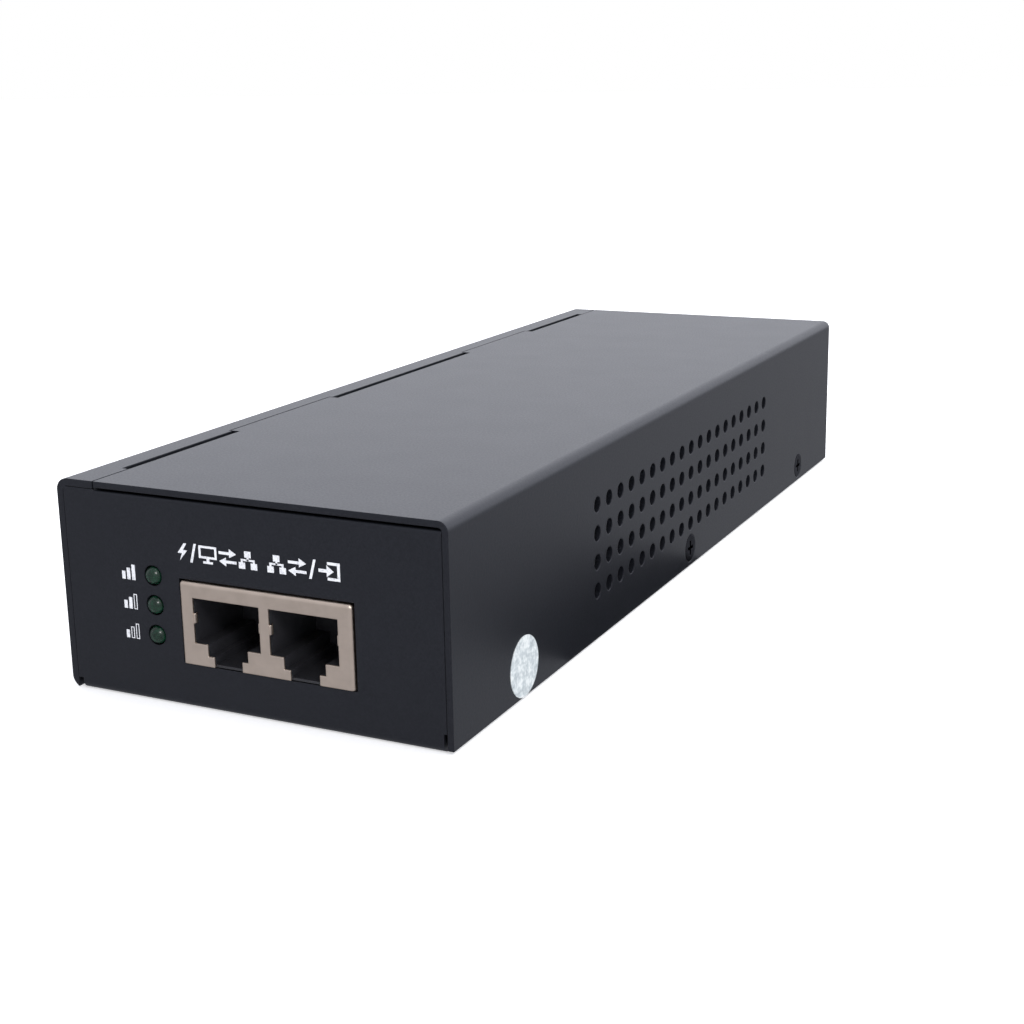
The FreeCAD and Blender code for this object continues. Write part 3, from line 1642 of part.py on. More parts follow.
def write():
    os.makedirs("parts", exist_ok=True)
    for name, item in parts.items():
        item.Shape.exportStep(f"parts/{name}.step")
        print(name, len(item.Shape.Solids), round(item.Shape.Volume, 1))


build()
check()
write()
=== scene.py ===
import math
import random

import bmesh
import bpy
from mathutils import Matrix, Vector


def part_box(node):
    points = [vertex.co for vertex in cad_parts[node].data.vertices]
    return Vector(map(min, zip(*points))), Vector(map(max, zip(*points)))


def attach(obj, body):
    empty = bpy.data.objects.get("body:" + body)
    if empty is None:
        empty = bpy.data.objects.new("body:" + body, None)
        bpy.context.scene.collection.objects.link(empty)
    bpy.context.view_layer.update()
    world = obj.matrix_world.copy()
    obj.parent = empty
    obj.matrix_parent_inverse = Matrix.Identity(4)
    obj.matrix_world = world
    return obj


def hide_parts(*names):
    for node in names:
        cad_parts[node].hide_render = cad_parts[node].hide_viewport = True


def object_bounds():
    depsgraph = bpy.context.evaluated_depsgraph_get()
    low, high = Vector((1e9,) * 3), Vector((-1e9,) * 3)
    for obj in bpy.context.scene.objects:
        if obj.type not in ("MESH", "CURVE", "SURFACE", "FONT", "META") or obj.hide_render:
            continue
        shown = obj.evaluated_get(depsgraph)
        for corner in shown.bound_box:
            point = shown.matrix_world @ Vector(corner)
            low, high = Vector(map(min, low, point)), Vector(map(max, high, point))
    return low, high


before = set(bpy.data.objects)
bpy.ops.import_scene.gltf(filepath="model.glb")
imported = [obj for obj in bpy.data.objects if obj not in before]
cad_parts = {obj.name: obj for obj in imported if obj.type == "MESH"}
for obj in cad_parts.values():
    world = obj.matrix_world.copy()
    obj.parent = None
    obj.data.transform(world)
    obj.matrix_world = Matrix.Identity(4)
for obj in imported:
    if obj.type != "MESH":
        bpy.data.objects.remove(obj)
cad_low, cad_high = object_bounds()
MM = 0.001
COLLECTION = bpy.context.scene.collection
BOARD_TOP = 7.5
BOARD_UNDERSIDE = 5.9


def box_mm(name):
    """The low and high corners of a CAD node, in millimetres."""
    return [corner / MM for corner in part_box(name)]


# ---- camera, floor and light


def make_camera():
    """The camera stands in front of the jack, to the right of it and above."""
    azimuth, elevation, roll = (math.radians(angle) for angle in (26.13, 13.85, -1.05))
    back = Vector((
        math.sin(azimuth) * math.cos(elevation),
        -math.cos(azimuth) * math.cos(elevation),
        math.sin(elevation),
    ))
    right = (-back).cross(Vector((0, 0, 1))).normalized()
    up = right.cross(-back)
    tilted_right = math.cos(roll) * right + math.sin(roll) * up
    tilted_up = -math.sin(roll) * right + math.cos(roll) * up
    data = bpy.data.cameras.new("camera")
    data.sensor_width = 36.0
    data.lens = 57.0
    data.shift_y = -0.0352
    data.clip_start = 0.01
    data.clip_end = 50.0
    camera = bpy.data.objects.new("camera", data)
    matrix = Matrix((tilted_right, tilted_up, back)).transposed().to_4x4()
    matrix.translation = Vector((139.0, -291.4, 95.1)) * MM
    camera.matrix_world = matrix
    COLLECTION.objects.link(camera)
    bpy.context.scene.camera = camera


def make_area_light(name, place, target, size, power):
    data = bpy.data.lights.new(name, "AREA")
    data.shape = "RECTANGLE"
    data.size, data.size_y = size
    data.energy = power
    light = bpy.data.objects.new(name, data)
    place, target = Vector(place), Vector(target)
    light.location = place
    light.rotation_mode = "QUATERNION"
    light.rotation_quaternion = (target - place).to_track_quat("-Z", "Y")
    COLLECTION.objects.link(light)


def spread(tree, value, low, high, out_low, out_high, smooth=False):
    """Map a value from one range to another inside a node tree."""
    made = tree.nodes.new("ShaderNodeMapRange")
    if smooth:
        made.interpolation_type = "SMOOTHSTEP"
    for key, number in (
        ("From Min", low), ("From Max", high), ("To Min", out_low), ("To Max", out_high),
    ):
        made.inputs[key].default_value = number
    tree.links.new(value, made.inputs["Value"])
    return made.outputs["Result"]


def make_world():
    """White to the eye; as light, a bright wall behind, a dim room in front and below."""
    world = bpy.data.worlds.new("studio")
    world.use_nodes = True
    tree = world.node_tree
    nodes, links = tree.nodes, tree.links
    nodes.clear()
    output = nodes.new("ShaderNodeOutputWorld")
    seen = nodes.new("ShaderNodeBackground")
    seen.inputs["Color"].default_value = (1.0, 1.0, 1.0, 1.0)
    lit = nodes.new("ShaderNodeBackground")
    lit.inputs["Color"].default_value = (0.93, 0.95, 1.02, 1.0)
    split = nodes.new("ShaderNodeSeparateXYZ")
    direction = nodes.new("ShaderNodeTexCoord").outputs["Generated"]
    links.new(direction, split.inputs[0])
    above = spread(tree, split.outputs["Y"], -0.5, 0.6, 0.55, 1.5, smooth=True)
    rising = spread(tree, split.outputs["Z"], -0.10, 0.12, 0.0, 1.0, smooth=True)
    mixed = nodes.new("ShaderNodeMix")
    mixed.inputs[2].default_value = 0.42
    links.new(rising, mixed.inputs[0])
    links.new(above, mixed.inputs[3])
    links.new(mixed.outputs[0], lit.inputs["Strength"])
    path = nodes.new("ShaderNodeLightPath")
    mix = nodes.new("ShaderNodeMixShader")
    links.new(path.outputs["Is Camera Ray"], mix.inputs["Fac"])
    links.new(lit.outputs[0], mix.inputs[1])
    links.new(seen.outputs[0], mix.inputs[2])
    links.new(mix.outputs[0], output.inputs["Surface"])
    bpy.context.scene.world = world


def make_sheet(name, low, high, height, colour, glow, strength):
    """A flat glowing sheet in millimetres, its height measured from the case's underside."""
    mesh = bpy.data.meshes.new(name)
    (left, front), (right, rear) = low, high
    corners = [(left, front, 0), (right, front, 0), (right, rear, 0), (left, rear, 0)]
    mesh.from_pydata([Vector(corner) * MM for corner in corners], [], [(0, 1, 2, 3)])
    sheet = bpy.data.objects.new(name, mesh)
    sheet.location.z = cad_low.z + height * MM
    COLLECTION.objects.link(sheet)
    paper = bpy.data.materials.new(name)
    paper.use_nodes = True
    inputs = paper.node_tree.nodes["Principled BSDF"].inputs
    inputs["Base Color"].default_value = (*colour, 1.0)
    inputs["Roughness"].default_value = 0.9
    inputs["Specular IOR Level"].default_value = 0.0
    inputs["Emission Color"].default_value = (*glow, 1.0)
    inputs["Emission Strength"].default_value = strength
    mesh.materials.append(paper)
    return sheet


def make_floor():
    """A white paper floor that is left out of reflections, so the case stays dark."""
    half = 8000
    floor = make_sheet("floor", (-half, -half), (half, half), -0.02, (0.92, 0.92, 0.93),
                       (1.0, 1.0, 1.0), 0.45)
    floor.visible_glossy = False


def make_card(name, low, high, height, strength):
    """A card just under the floor's level that shows only in reflections."""
    card = make_sheet(name, low, high, height, (0.0, 0.0, 0.0), (0.93, 0.95, 1.0), strength)
    card.visible_camera = False
    card.visible_diffuse = False
    card.visible_shadow = False


make_camera()
make_world()
make_floor()
make_card("white_card", (35.4, -110), (260, 320), -0.5, 0.44)
# Painted reflection of shade: this black sheet shows only in reflections and darkens the lower
# middle of the case's right wall, standing in for the shadow on the floor beside it.
make_card("reflected_shadow_card", (35.4, -57), (61, 8), -0.3, 0.0)
make_area_light("overhead", (0.2, 0.5, 1.5), (0, 0, 0), (1.2, 1.2), 12)
make_area_light("key", (0.75, -0.75, 0.75), (0, -0.1, 0), (0.28, 0.28), 5)
bpy.context.scene.view_settings.view_transform = "Standard"


# ---- materials


class Maker:
    """A short way to write the node tree of one material."""

    def __init__(self, name):
        self.material = bpy.data.materials.new(name)
        self.material.use_nodes = True
        self.tree = self.material.node_tree
        self.shader = self.tree.nodes["Principled BSDF"]
        self.split = None

    def put(self, socket, value):
        if hasattr(value, "is_output"):
            self.tree.links.new(value, socket)
        elif isinstance(value, tuple) and len(value) == 3 and len(socket.default_value) == 4:
            socket.default_value = (*value, 1.0)
        else:
            socket.default_value = value

    def node(self, kind, **inputs):
        made = self.tree.nodes.new(f"ShaderNode{kind}")
        for key, value in inputs.items():
            self.put(made.inputs[key.replace("_", " ")], value)
        return made

    def place(self, stretch=None):
        """Place on the piece in metres, with each axis stretched if asked."""
        where = self.node("TexCoord").outputs["Object"]
        if stretch is None:
            return where
        moved = self.node("Mapping", Vector=where)
        moved.inputs["Scale"].default_value = stretch
        return moved.outputs["Vector"]

    def axis(self, letter):
        """One coordinate of the place on the piece, in millimetres."""
        if self.split is None:
            self.split = self.node("SeparateXYZ", Vector=self.place((1000, 1000, 1000)))
        return self.split.outputs[letter]

    def noise(self, size, detail=2.0, stretch=None):
        """Noise whose features are about the given number of millimetres."""
        made = self.node("TexNoise", Scale=1 / (size * MM), Detail=detail)
        self.put(made.inputs["Vector"], self.place(stretch))
        return made.outputs["Fac"]

    def ramp(self, value, *stops):
        made = self.node("ValToRGB", Fac=value)
        band = made.color_ramp
        while len(band.elements) < len(stops):
            band.elements.new(0.5)
        for element, (position, colour) in zip(band.elements, stops):
            element.position = position
            element.color = (*colour, 1.0)
        return made.outputs["Color"]

    def spread(self, value, low, high, out_low=0.0, out_high=1.0):
        return spread(self.tree, value, low, high, out_low, out_high)

    def maths(self, operation, *values):
        made = self.tree.nodes.new("ShaderNodeMath")
        made.operation = operation
        for socket, value in zip(made.inputs, values):
            self.put(socket, value)
        return made.outputs[0]

    def weigh(self, first, share, second):
        """The sum of two values that have a share each."""
        return self.maths("ADD", self.maths("MULTIPLY", first, share),
                          self.maths("MULTIPLY", second, 1 - share))

    def blend(self, factor, first, second):
        made = self.tree.nodes.new("ShaderNodeMix")
        made.data_type = "RGBA"
        for index, value in ((0, factor), (6, first), (7, second)):
            self.put(made.inputs[index], value)
        return made.outputs[2]

    def rim(self, width):
        """A normal that rounds every sharp edge by a given number of millimetres."""
        made = self.node("Bevel", Radius=width * MM)
        made.samples = 4
        return made.outputs["Normal"]

    def bump(self, height, strength, depth, rim=None):
        made = self.node("Bump", Strength=strength, Distance=depth * MM, Height=height)
        if rim is not None:
            self.put(made.inputs["Normal"], self.rim(rim))
        self.put(self.shader.inputs["Normal"], made.outputs["Normal"])

    def finish(self, **inputs):
        for key, value in inputs.items():
            self.put(self.shader.inputs[key.replace("_", " ")], value)
        return self.material


def case_paint():
    """Charcoal powder coat: fine orange peel, faintly cloudy."""
    paint = Maker("case_paint")
    clouds = paint.noise(9.0, 3.0)
    speck = paint.noise(0.35)
    tone = paint.weigh(clouds, 0.15, speck)
    colour = paint.ramp(tone, (0.3, (0.0046, 0.0053, 0.0075)), (0.7, (0.0086, 0.0096, 0.0130)))
    paint.bump(paint.maths("ADD", speck, paint.noise(0.8, 1.0)), 0.5, 0.02, rim=0.25)
    roughness = paint.spread(tone, 0.3, 0.7, 0.36, 0.46)
    return paint.finish(
        Base_Color=colour, Roughness=roughness, IOR=1.5, Specular_Tint=(0.86, 0.88, 1.0)
    )


def metal(name, light, dark, roughness, grain=0.6, stretch=None, depth=0.004, rim=0.08,
          strength=0.35, edge=(1.0, 1.0, 1.0)):
    """Plated or bare metal with a faint grain and slight staining."""
    made = Maker(name)
    stain = made.noise(2.2, 3.0)
    lines = made.noise(grain, 3.0, stretch)
    colour = made.ramp(stain, (0.32, dark), (0.62, light))
    rough = made.spread(lines, 0.3, 0.7, roughness * 0.8, roughness * 1.25)
    made.bump(lines, strength, depth, rim=rim)
    return made.finish(Base_Color=colour, Metallic=1.0, Roughness=rough, Specular_Tint=edge)


def plastic(name, light, dark, roughness, grain=0.25, depth=0.006, rim=0.12, coat=0.0):
    """Moulded plastic, lacquer or resin with a fine skin texture."""
    made = Maker(name)
    broad = made.noise(6.0, 3.0)
    fine = made.noise(grain)
    colour = made.ramp(broad, (0.3, dark), (0.7, light))
    rough = made.spread(fine, 0.3, 0.7, roughness * 0.85, roughness * 1.15)
    made.bump(fine, 0.4, depth, rim=rim)
    return made.finish(Base_Color=colour, Roughness=rough, IOR=1.5, Coat_Weight=coat,
                       Coat_Roughness=0.12)


def dip(name, light, dark, roughness, coat=0.4):
    """Thick, lumpy lacquer of a dipped part."""
    return plastic(name, light, dark, roughness, grain=0.9, depth=0.05, coat=coat)


def two_tone(name, mask_of, light, dark, roughness):
    """Resin packages whose legs and tabs are tinned metal where the mask is one."""
    made = Maker(name)
    mask = mask_of(made)
    broad = made.noise(3.0, 3.0)
    fine = made.noise(0.15)
    resin = made.ramp(broad, (0.3, dark), (0.7, light))
    tin = made.ramp(broad, (0.3, (0.576, 0.568, 0.544)), (0.7, (0.72, 0.71, 0.68)))
    made.bump(fine, 0.4, 0.008, rim=0.08)
    return made.finish(
        Base_Color=made.blend(mask, resin, tin),
        Metallic=mask,
        Roughness=made.maths("ADD", made.maths("MULTIPLY", mask, 0.3 - roughness), roughness),
    )


def below(height):
    return lambda made: made.maths("LESS_THAN", made.axis("Z"), height)


def beyond(letter, centre, reach):
    """One where a coordinate is further than reach from centre."""
    def mask(made):
        offset = made.maths("ABSOLUTE", made.maths("SUBTRACT", made.axis(letter), centre))
        return made.maths("GREATER_THAN", offset, reach)
    return mask


def either(*masks):
    def mask(made):
        total = masks[0](made)
        for other in masks[1:]:
            total = made.maths("MAXIMUM", total, other(made))
        return total
    return mask


def seal_film():
    """A round white film seal, mottled with pale blue and grey."""
    film = Maker("seal_film")
    patches = film.noise(1.5, 4.0)
    flecks = film.noise(0.55)
    tone = film.weigh(patches, 0.6, flecks)
    colour = film.ramp(
        tone, (0.36, (0.32, 0.36, 0.38)), (0.47, (0.46, 0.50, 0.51)), (0.58, (0.63, 0.66, 0.655))
    )
    film.bump(flecks, 0.5, 0.03)
    return film.finish(Base_Color=colour, Roughness=0.42)


def lens_resin():
    """Dark green tinted resin of an unlit lamp."""
    resin = Maker("lens_resin")
    haze = resin.noise(0.7)
    colour = resin.ramp(haze, (0.35, (0.002, 0.020, 0.010)), (0.65, (0.005, 0.042, 0.021)))
    resin.bump(haze, 0.1, 0.02)
    return resin.finish(
        Base_Color=colour, Roughness=0.27, IOR=1.54, Transmission_Weight=0.2,
        Specular_Tint=(1.0, 0.92, 0.95),
    )


def ink(name, colour, worn):
    """Screen-printed ink with slightly uneven cover."""
    made = Maker(name)
    cover = made.noise(0.3, 3.0)
    made.bump(cover, 0.3, 0.01)
    return made.finish(Base_Color=made.ramp(cover, (0.28, worn), (0.5, colour)), Roughness=0.55)


def wire_skin(name, light, dark, stripe=None):
    """Insulated wire; the earth wire has yellow bands on green."""
    made = Maker(name)
    soft = made.noise(1.2, 3.0)
    colour = made.ramp(soft, (0.3, dark), (0.7, light))
    if stripe is not None:
        slope = made.maths("ADD", made.axis("X"), made.axis("Z"))
        wave = made.maths("SINE", made.maths("MULTIPLY", slope, 2.1))
        colour = made.blend(made.maths("GREATER_THAN", wave, 0.2), colour, stripe)
    made.bump(soft, 0.2, 0.02)
    return made.finish(Base_Color=colour, Roughness=0.38)


def fuse_glass():
    glass = Maker("fuse_glass")
    swirl = glass.noise(3.0)
    glass.bump(swirl, 0.08, 0.05)
    colour = glass.ramp(swirl, (0.3, (0.90, 0.95, 0.93)), (0.7, (0.97, 0.99, 0.98)))
    return glass.finish(Base_Color=colour, Roughness=0.04, IOR=1.5, Transmission_Weight=1.0)


def winding_wire():
    """Enamelled copper: bright copper under a clear amber coat."""
    made = Maker("winding_wire")
    tone = made.noise(0.9, 3.0)
    colour = made.ramp(tone, (0.3, (0.50, 0.15, 0.045)), (0.7, (0.82, 0.32, 0.12)))
    made.bump(tone, 0.15, 0.02)
    return made.finish(
        Base_Color=colour, Metallic=1.0, Roughness=0.3, Coat_Weight=0.8, Coat_Roughness=0.1,
        Coat_Tint=(1.0, 0.86, 0.66),
    )


def winding_tape():
    """Glossy yellow polyester tape with faint wrap lines."""
    made = Maker("winding_tape")
    lines = made.maths("SINE", made.maths("MULTIPLY", made.axis("Z"), 9.0))
    crease = made.noise(1.6, 3.0, (1.0, 1.0, 0.35))
    colour = made.ramp(crease, (0.3, (0.62, 0.36, 0.02)), (0.7, (0.88, 0.60, 0.06)))
    height = made.maths("ADD", made.maths("MULTIPLY", lines, 0.12), crease)
    made.bump(height, 0.5, 0.08, rim=0.2)
    return made.finish(Base_Color=colour, Roughness=0.24, Coat_Weight=0.5, Coat_Roughness=0.1)


def sleeve(name, light, dark):
    """Heat-shrunk sleeve of a capacitor, glossy with tiny ripples."""
    made = Maker(name)
    ripple = made.noise(2.4, 2.0, (1.0, 1.0, 0.25))
    colour = made.ramp(ripple, (0.3, dark), (0.7, light))
    made.bump(ripple, 0.35, 0.06, rim=0.35)
    return made.finish(Base_Color=colour, Roughness=0.22, Coat_Weight=0.3, Coat_Roughness=0.08)


def board_laminate():
    """Glass-fibre laminate under green solder resist; the cut edges are bare and tan."""
    made = Maker("board_laminate")
    waves = [made.maths("SINE", made.maths("MULTIPLY", made.axis(letter), 14.0)) for letter in "XY"]
    weave = made.maths("MULTIPLY", *waves)
    cloud = made.noise(7.0, 3.0)
    resist = made.ramp(cloud, (0.3, (0.006, 0.060, 0.022)), (0.7, (0.010, 0.092, 0.034)))
    top = made.maths("GREATER_THAN", made.axis("Z"), BOARD_TOP - 0.01)
    underside = made.maths("LESS_THAN", made.axis("Z"), BOARD_UNDERSIDE + 0.01)
    face = made.maths("MAXIMUM", top, underside)
    fibre = made.ramp(cloud, (0.3, (0.30, 0.24, 0.10)), (0.7, (0.42, 0.35, 0.17)))
    made.bump(weave, 0.15, 0.01)
    return made.finish(
        Base_Color=made.blend(face, fibre, resist),
        Roughness=made.spread(cloud, 0.3, 0.7, 0.22, 0.34),
        Specular_IOR_Level=0.5,
    )


def glue():
    """Milky silicone that holds the tall parts."""
    made = Maker("glue")
    swirl = made.noise(2.0, 3.0)
    made.bump(swirl, 0.4, 0.15)
    return made.finish(
        Base_Color=made.ramp(swirl, (0.3, (0.70, 0.69, 0.64)), (0.7, (0.82, 0.81, 0.77))),
        Roughness=0.4,
    )


PAINT = case_paint()
ZINC = metal("zinc", (0.66, 0.67, 0.68), (0.50, 0.51, 0.54), 0.28, grain=0.3)
NICKEL = metal("nickel_shield", (0.87, 0.73, 0.62), (0.80, 0.67, 0.565), 0.36, grain=0.35,
               stretch=(0.12, 1.0, 1.0), depth=0.003, rim=0.3)
TIN = metal("tinned_lead", (0.74, 0.74, 0.72), (0.58, 0.58, 0.57), 0.24, grain=0.3)
GOLD = metal("gold_contact", (0.90, 0.62, 0.20), (0.72, 0.46, 0.13), 0.2, grain=0.3)
BRASS = metal("blade_plate", (0.72, 0.70, 0.64), (0.60, 0.58, 0.52), 0.22, grain=0.3,
              stretch=(1.0, 0.1, 1.0))
ALUMINIUM = metal("sink_aluminium", (0.78, 0.79, 0.80), (0.62, 0.63, 0.65), 0.34, grain=0.35,
                  stretch=(1.0, 1.0, 0.04), depth=0.02, rim=0.15, strength=0.6)
CAN_METAL = metal("can_aluminium", (0.50, 0.50, 0.51), (0.38, 0.38, 0.40), 0.4, grain=0.4,
                  rim=None)
BLACK_SCREW = metal("black_screw", (0.020, 0.020, 0.024), (0.012, 0.012, 0.015), 0.36,
                    grain=0.25, rim=0.2, edge=(0.66, 0.67, 0.70))
BLACK_MOULDING = plastic("black_moulding", (0.011, 0.011, 0.012), (0.007, 0.007, 0.008), 0.38)
JACK_PLASTIC = plastic("jack_plastic", (0.030, 0.030, 0.035), (0.022, 0.022, 0.026), 0.42)
INSULATOR = plastic("insulator_film", (0.012, 0.012, 0.013), (0.008, 0.008, 0.009), 0.18)
FERRITE = plastic("ferrite", (0.032, 0.031, 0.031), (0.018, 0.018, 0.018), 0.42, grain=0.4,
                  depth=0.03)
YELLOW_CASE = plastic("yellow_case", (0.72, 0.43, 0.03), (0.62, 0.34, 0.02), 0.3, rim=0.3)
BLUE_DIP = dip("blue_dip", (0.020, 0.090, 0.36), (0.012, 0.055, 0.24), 0.2)
BLACK_DIP = dip("black_dip", (0.022, 0.035, 0.024), (0.012, 0.020, 0.014), 0.26, coat=0.3)
ORANGE_DIP = dip("orange_dip", (0.62, 0.20, 0.03), (0.48, 0.13, 0.02), 0.24)
SILVER_LABEL = metal("silver_label", (0.62, 0.63, 0.65), (0.52, 0.53, 0.55), 0.42, grain=0.5,
                     stretch=(0.1, 1.0, 1.0), depth=0.003)
WHITE_INK = ink("white_ink", (0.76, 0.77, 0.80), (0.50, 0.51, 0.55))
BOARD_INK = ink("board_ink", (0.80, 0.80, 0.76), (0.55, 0.56, 0.52))
BLACK_INK = ink("black_ink", (0.02, 0.02, 0.022), (0.05, 0.05, 0.052))
MASKED_COPPER = plastic("masked_copper", (0.020, 0.150, 0.055), (0.013, 0.115, 0.042), 0.24,
                        rim=0.02)
BLACK_SLEEVE = sleeve("black_sleeve", (0.016, 0.017, 0.024), (0.009, 0.010, 0.015))
GREEN_SLEEVE = sleeve("green_sleeve", (0.010, 0.070, 0.060), (0.006, 0.046, 0.040))
SLEEVE_INK = ink("sleeve_ink", (0.55, 0.56, 0.58), (0.42, 0.43, 0.46))
LENS = lens_resin()
COPPER = winding_wire()
TAPE = winding_tape()
GLUE = glue()
RESIN = ((0.020, 0.020, 0.021), (0.012, 0.012, 0.013), 0.42)


def assign(material, *names):
    for name in names:
        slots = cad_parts[name].data.materials
        slots.clear()
        slots.append(material)


def dress_nodes():
    assign(PAINT, "base_chassis", "top_cover")
    assign(BLACK_SCREW, "cover_screws", "inlet_screws")
    assign(ZINC, "clinch_nuts", "board_posts", "board_screws", "inlet_nuts", "earth_stud",
           "earth_nut", "device_screws")
    assign(seal_film(), "seal_label")
    assign(SILVER_LABEL, "rating_label")
    assign(INSULATOR, "insulating_sheet")
    assign(NICKEL, "jack_shield")
    assign(JACK_PLASTIC, "jack_moulding")
    assign(BLACK_MOULDING, "lamp_tower", "inlet_housing", "transformer_former")
    assign(GOLD, "jack_contacts")
    assign(LENS, "lamp_low", "lamp_middle", "lamp_high")
    assign(TIN, "lamp_leads", "earth_terminal", "fuse_caps", "fuse_clips", "transformer_pins")
    assign(BRASS, "live_blades", "earth_blade")
    assign(wire_skin("brown_wire", (0.16, 0.062, 0.030), (0.10, 0.036, 0.018)), "line_wire")
    assign(wire_skin("blue_wire", (0.020, 0.085, 0.42), (0.012, 0.055, 0.30)), "neutral_wire")
    assign(wire_skin("green_wire", (0.06, 0.33, 0.06), (0.035, 0.24, 0.04),
                     stripe=(0.80, 0.66, 0.05)), "earth_wire")
    assign(fuse_glass(), "fuse_tube")
    assign(YELLOW_CASE, "film_capacitor")
    assign(FERRITE, "choke_core", "transformer_core", "output_choke_core", "filter_inductor")
    assign(two_tone("bridge_resin", below(10.95), *RESIN), "bridge_rectifier")
    for name in ("switching_transistor", "output_diode"):
        plate = either(below(12.95), beyond("X", 0, 22.02), beyond("Z", 17.25, 4.3))
        assign(two_tone(f"{name}_finish", plate, *RESIN), name)
    for finish, name, width, centre in (
        ("controller_finish", "power_controller", 7, -46),
        ("supply_finish", "supply_controller", 4, -9),
        ("optocoupler_finish", "optocoupler", 6.4, -8),
        ("lan_finish", "lan_transformers", 9.5, -72),
    ):
        legs = beyond("Y", centre, width / 2 + 0.02)
        assign(two_tone(finish, legs, *RESIN), name)
    assign(two_tone("surface_finish", below(BOARD_TOP + 0.02), *RESIN), "surface_parts")
    assign(BLACK_SLEEVE, "bulk_capacitor")
    assign(GREEN_SLEEVE, "output_capacitor_1", "output_capacitor_2", "output_capacitor_3")
    assign(ALUMINIUM, "primary_heat_sink", "output_heat_sink")
    assign(board_laminate(), "main_board")


# ---- mesh building


ALONG = {
    "X": Matrix(((0, 0, 1), (1, 0, 0), (0, 1, 0))),
    "Y": Matrix(((0, 1, 0), (0, 0, 1), (1, 0, 0))),
    "-Y": Matrix(((1, 0, 0), (0, 0, -1), (0, 1, 0))),
    "Z": Matrix.Identity(3),
}


class Shape:
    """A mesh built in millimetres, whose faces take the material last named."""

    def __init__(self, material):
        self.mesh = bmesh.new()
        self.materials = [material]
        self.current = 0

    def paint(self, material):
        if material not in self.materials:
            self.materials.append(material)
        self.current = self.materials.index(material)

    def face(self, verts):
        self.mesh.faces.new(verts).material_index = self.current

    def rings(self, rings, closed=False, capped=True):
        """Skin a list of rings that have the same number of points."""
        made = [[self.mesh.verts.new(point) for point in ring] for ring in rings]
        pairs = list(zip(made, made[1:]))
        if closed:
            pairs.append((made[-1], made[0]))
        count = len(made[0])
        for low, high in pairs:
            for index in range(count):
                after = (index + 1) % count
                self.face((low[index], low[after], high[after], high[index]))
        if capped and not closed:
            self.face(list(reversed(made[0])))
            self.face(made[-1])

    def tube(self, path, radius, sides=10):
        """Sweep a circle along a path of points."""
        points = [Vector(point) for point in path]
        normal = None
        rings = []
        for index, point in enumerate(points):
            before = points[max(index - 1, 0)]
            after = points[min(index + 1, len(points) - 1)]
            heading = (after - before).normalized()
            if normal is None:
                helper = Vector((0, 0, 1)) if abs(heading.z) < 0.9 else Vector((1, 0, 0))
                normal = heading.cross(helper)
            normal = (normal - heading * normal.dot(heading)).normalized()
            other = heading.cross(normal)
            ring = []
            for step in range(sides):
                angle = math.tau * step / sides
                ring.append(point + (normal * math.cos(angle) + other * math.sin(angle)) * radius)
            rings.append(ring)
        self.rings(rings)

    def lathe(self, profile, place, along="Z", segments=40, start=0.0, sweep=math.tau):
        """Turn a profile of (radius, height) points about an axis through place."""
        turn, place = ALONG[along], Vector(place)
        whole = sweep > math.tau - 1e-6
        steps = segments if whole else segments + 1
        rings = []
        for step in range(steps):
            angle = start + sweep * step / segments
            ring = []
            for radius, height in profile:
                local = Vector((radius * math.cos(angle), radius * math.sin(angle), height))
                ring.append(turn @ local + place)
            rings.append(ring)
        self.rings(rings, closed=whole)

    def prism(self, outline, low, high, along="Z", place=(0, 0, 0)):
        """Give a flat outline a thickness along an axis."""
        turn, place = ALONG[along], Vector(place)
        self.rings([
            [turn @ Vector((u, v, level)) + place for u, v in outline] for level in (low, high)
        ])

    def finish(self, name, body="chassis", slot=None, replaces=(), crease=35, bevel=0.0):
        bmesh.ops.remove_doubles(self.mesh, verts=self.mesh.verts, dist=1e-5)
        bmesh.ops.recalc_face_normals(self.mesh, faces=self.mesh.faces)
        bmesh.ops.scale(self.mesh, vec=(MM, MM, MM), verts=self.mesh.verts)
        data = bpy.data.meshes.new(name)
        self.mesh.to_mesh(data)
        self.mesh.free()
        for material in self.materials:
            data.materials.append(material)
        data.polygons.foreach_set("use_smooth", [True] * len(data.polygons))
        data.set_sharp_from_angle(angle=math.radians(crease))
        made = bpy.data.objects.new(name, data)
        COLLECTION.objects.link(made)
        if bevel:
            edge = made.modifiers.new("edge", "BEVEL")
            edge.width = bevel * MM
            edge.segments = 2
            edge.limit_method = "ANGLE"
            edge.angle_limit = math.radians(40)
        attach(made, body)
        if replaces:
            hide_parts(*replaces)


def box_outline(left, low, right, high):
    return [(left, low), (right, low), (right, high), (left, high)]


def frame_outline(width, height, line):
    """The four sides of an empty frame."""
    return [box_outline(0, 0, line, height), box_outline(width - line, 0, width, height),
            box_outline(line, 0, width - line, line),
            box_outline(line, height - line, width - line, height)]


def arc_points(x, y, radius, first, last, steps):
    for step in range(steps + 1):
        angle = math.radians(first + (last - first) * step / steps)
        yield x + radius * math.cos(angle), y + radius * math.sin(angle)


def circle(x, y, radius, count):
    turn = 360 / count
    return list(arc_points(x, y, radius, 0, 360 - turn, count - 1))


def round_box(left, low, right, high, radius, steps):
    """A rectangle with rounded corners, anticlockwise."""
    corners = (
        (right - radius, low + radius, -90), (right - radius, high - radius, 0),
        (left + radius, high - radius, 90), (left + radius, low + radius, 180),
    )
    points = []
    for x, y, first in corners:
        points.extend(arc_points(x, y, radius, first, first + 90, steps))
    return points


